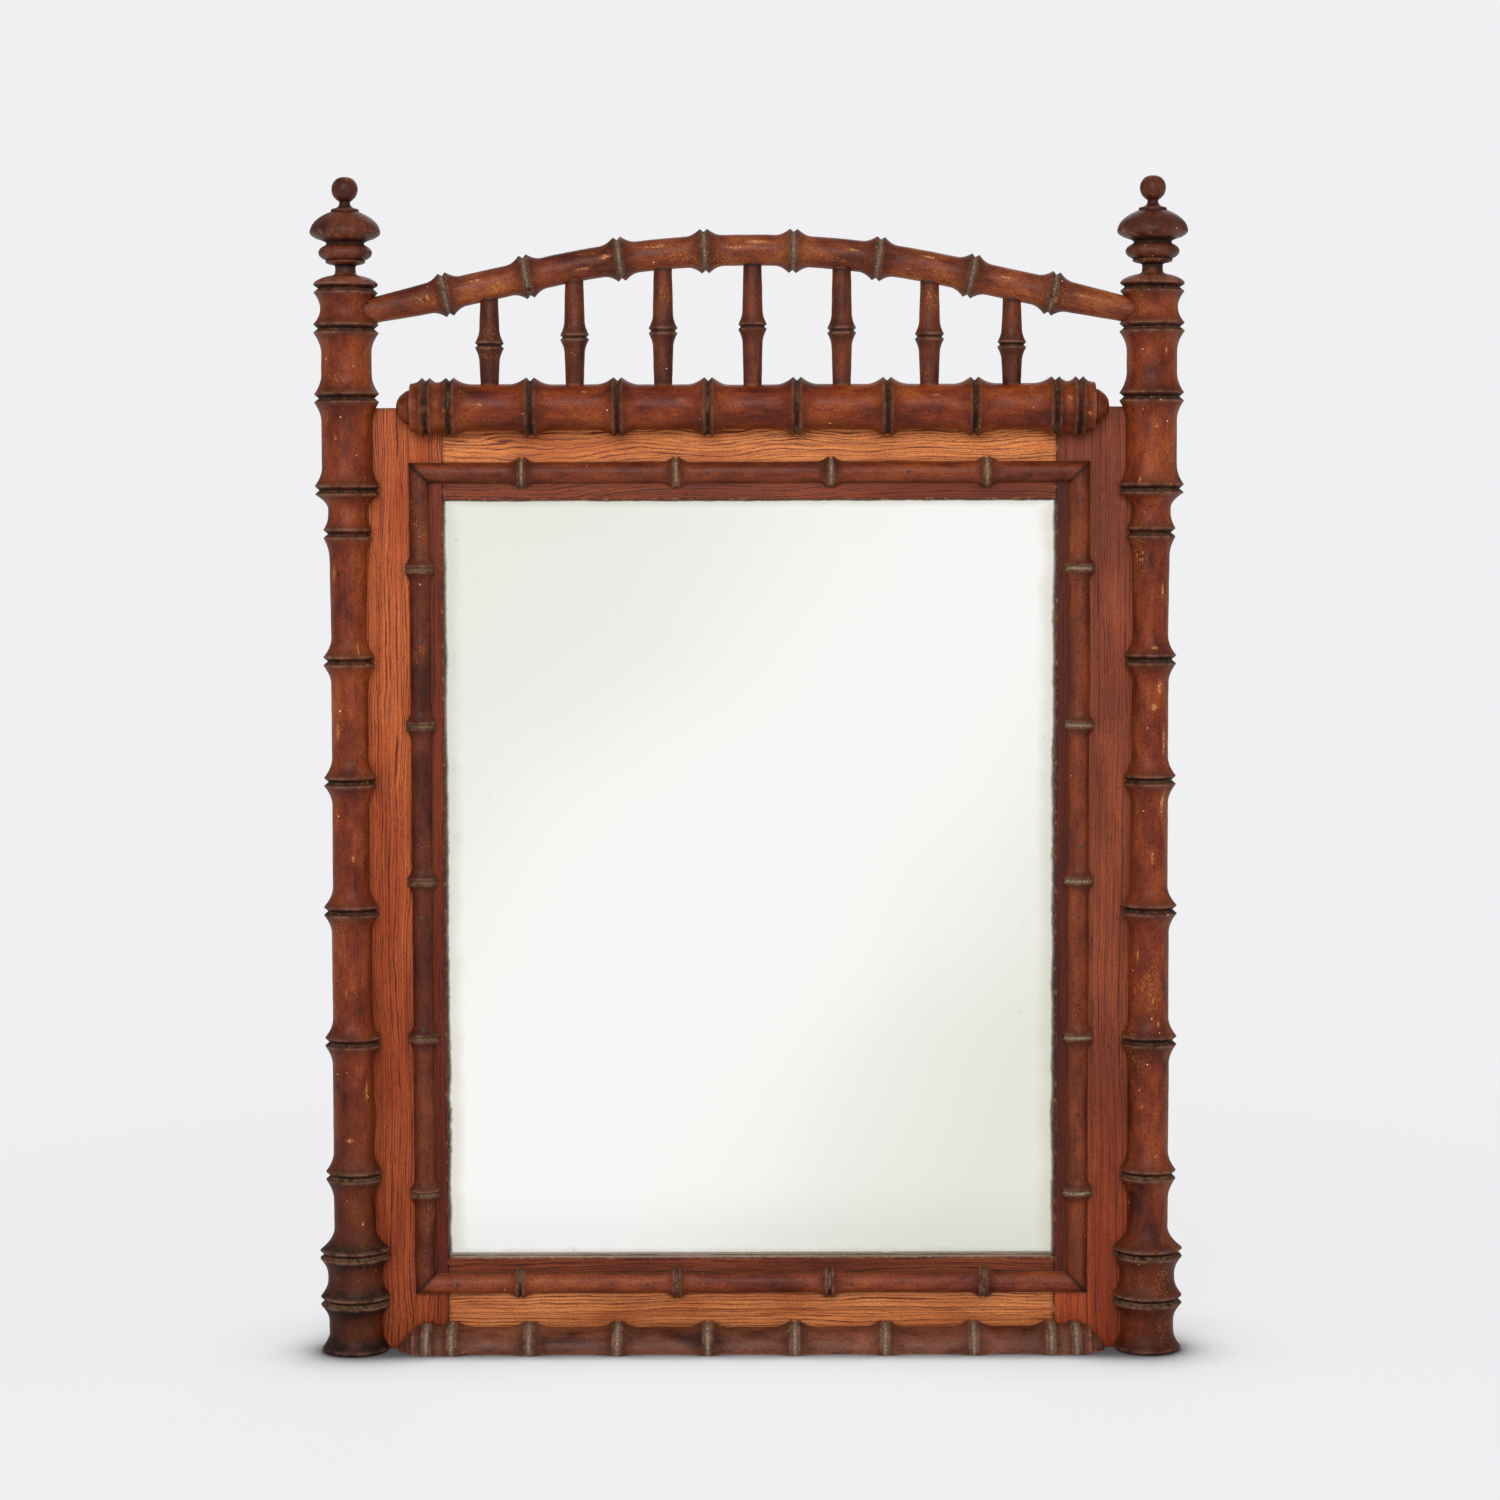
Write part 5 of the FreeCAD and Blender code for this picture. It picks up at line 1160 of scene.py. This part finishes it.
def floor_material():
    m = Nodes("pale_floor")
    x, y, z = m.sep(m.object())
    d = m.vec("LENGTH", m.comb(x, y, 0.0))
    col = m.mix(m.noise(m.object(), 3.0, 3.0, 0.5), (0.93, 0.93, 0.942, 1), (0.96, 0.96, 0.972, 1))
    # painted contact shade: an ambient-occlusion node darkens the floor's colour and its glow near the object
    contact_occlusion = m.new("AmbientOcclusion", samples=12)
    contact_occlusion.inputs["Distance"].default_value = 0.070
    floor_contact_shade = m.ease(contact_occlusion.outputs["AO"], 0.58, 0.985, 0.12, 1.0)
    m.done(m.mix(1.0, col, m.comb(floor_contact_shade, floor_contact_shade, floor_contact_shade), "MULTIPLY"), 0.6, specular=0.2)
    far = m.new("Emission")
    far.inputs["Color"].default_value = BACK
    both = m.new("MixShader")
    ahead = m.ease(y, -0.40, -0.80)
    mirrored = m.math("SUBTRACT", 1.0, m.new("LightPath").outputs["Is Camera Ray"])
    m.put(far.inputs["Strength"], m.mul(floor_contact_shade, m.scale(m.mul(ahead, mirrored), 0, 1, 1.0, 1.09)))
    beside = m.vec("LENGTH", m.comb(m.math("MAXIMUM", m.math("SUBTRACT", m.math("ABSOLUTE", x), 0.375), 0.0),
                                    m.math("MAXIMUM", m.math("SUBTRACT", m.math("ABSOLUTE", y), 0.02), 0.0), 0.0))
    glow = m.mul(m.ease(beside, 0.0, 0.16, 0.35, 0.88), m.ease(d, 0.45, 2.4, 1.0, 1.137))
    m.put(both.inputs[0], m.math("MAXIMUM", glow, ahead, clamp=True))
    m.t.links.new(m.bsdf.outputs[0], both.inputs[1])
    m.t.links.new(far.outputs[0], both.inputs[2])
    out = [n for n in m.t.nodes if n.type == "OUTPUT_MATERIAL"][0]
    m.t.links.new(both.outputs[0], out.inputs["Surface"])
    return m.mat


bm = bmesh.new()
bmesh.ops.create_circle(bm, cap_ends=True, radius=60.0, segments=96)
me = bpy.data.meshes.new("floor")
bm.to_mesh(me)
bm.free()
me.materials.append(floor_material())
floor = bpy.data.objects.new("floor", me)
bpy.context.scene.collection.objects.link(floor)

world = bpy.data.worlds.new("studio")
bpy.context.scene.world = world
world.use_nodes = True
wt = world.node_tree
bg = wt.nodes["Background"]
bg.inputs["Color"].default_value = BACK
# bright in front of the object and dim at its sides, while the backdrop itself stays even
way = wt.nodes.new("ShaderNodeTexCoord")
part = wt.nodes.new("ShaderNodeSeparateXYZ")
front = wt.nodes.new("ShaderNodeMapRange")
front.interpolation_type = "SMOOTHSTEP"
seen = wt.nodes.new("ShaderNodeLightPath")
pick = wt.nodes.new("ShaderNodeMix")
wt.links.new(way.outputs["Generated"], part.inputs[0])
wt.links.new(part.outputs["Y"], front.inputs["Value"])
for key, val in (("From Min", 0.15), ("From Max", -0.92), ("To Min", 0.40), ("To Max", 1.08)):
    front.inputs[key].default_value = val
wt.links.new(seen.outputs["Is Camera Ray"], pick.inputs[0])
wt.links.new(front.outputs[0], pick.inputs[2])
pick.inputs[3].default_value = 1.0
wt.links.new(pick.outputs[0], bg.inputs["Strength"])


def area(name, at, to, size, power, color=(1, 1, 1)):
    li = bpy.data.lights.new(name, "AREA")
    li.shape, li.size, li.size_y, li.energy, li.color = "RECTANGLE", size[0], size[1], power, color
    ob = bpy.data.objects.new(name, li)
    ob.location = at
    ob.rotation_euler = (Vector(to) - Vector(at)).to_track_quat("-Z", "Y").to_euler()
    bpy.context.scene.collection.objects.link(ob)
    return ob


area("soft_front", (-0.25, -3.0, 2.05), (0, 0, 0.55), (2.2, 1.1), 58)
area("soft_behind", (0.4, 2.6, 2.4), (0, 0, 0.5), (2.4, 1.4), 16)

cam = bpy.data.cameras.new("camera")
cam.lens, cam.sensor_width = 86.45, 36.0
cam.clip_start, cam.clip_end = 0.05, 200
camera = bpy.data.objects.new("camera", cam)
bpy.context.scene.collection.objects.link(camera)
camera.location = (0.0, -3.2457, 0.774)
from mathutils import Matrix
camera.matrix_world = (Matrix.Translation(camera.location) @ Matrix.Rotation(math.radians(86.01), 4, "X")
                       @ Matrix.Rotation(math.radians(-0.13), 4, "Z"))
scene = bpy.context.scene
scene.camera = camera
scene.view_settings.view_transform = "Standard"
scene.view_settings.look = "None"
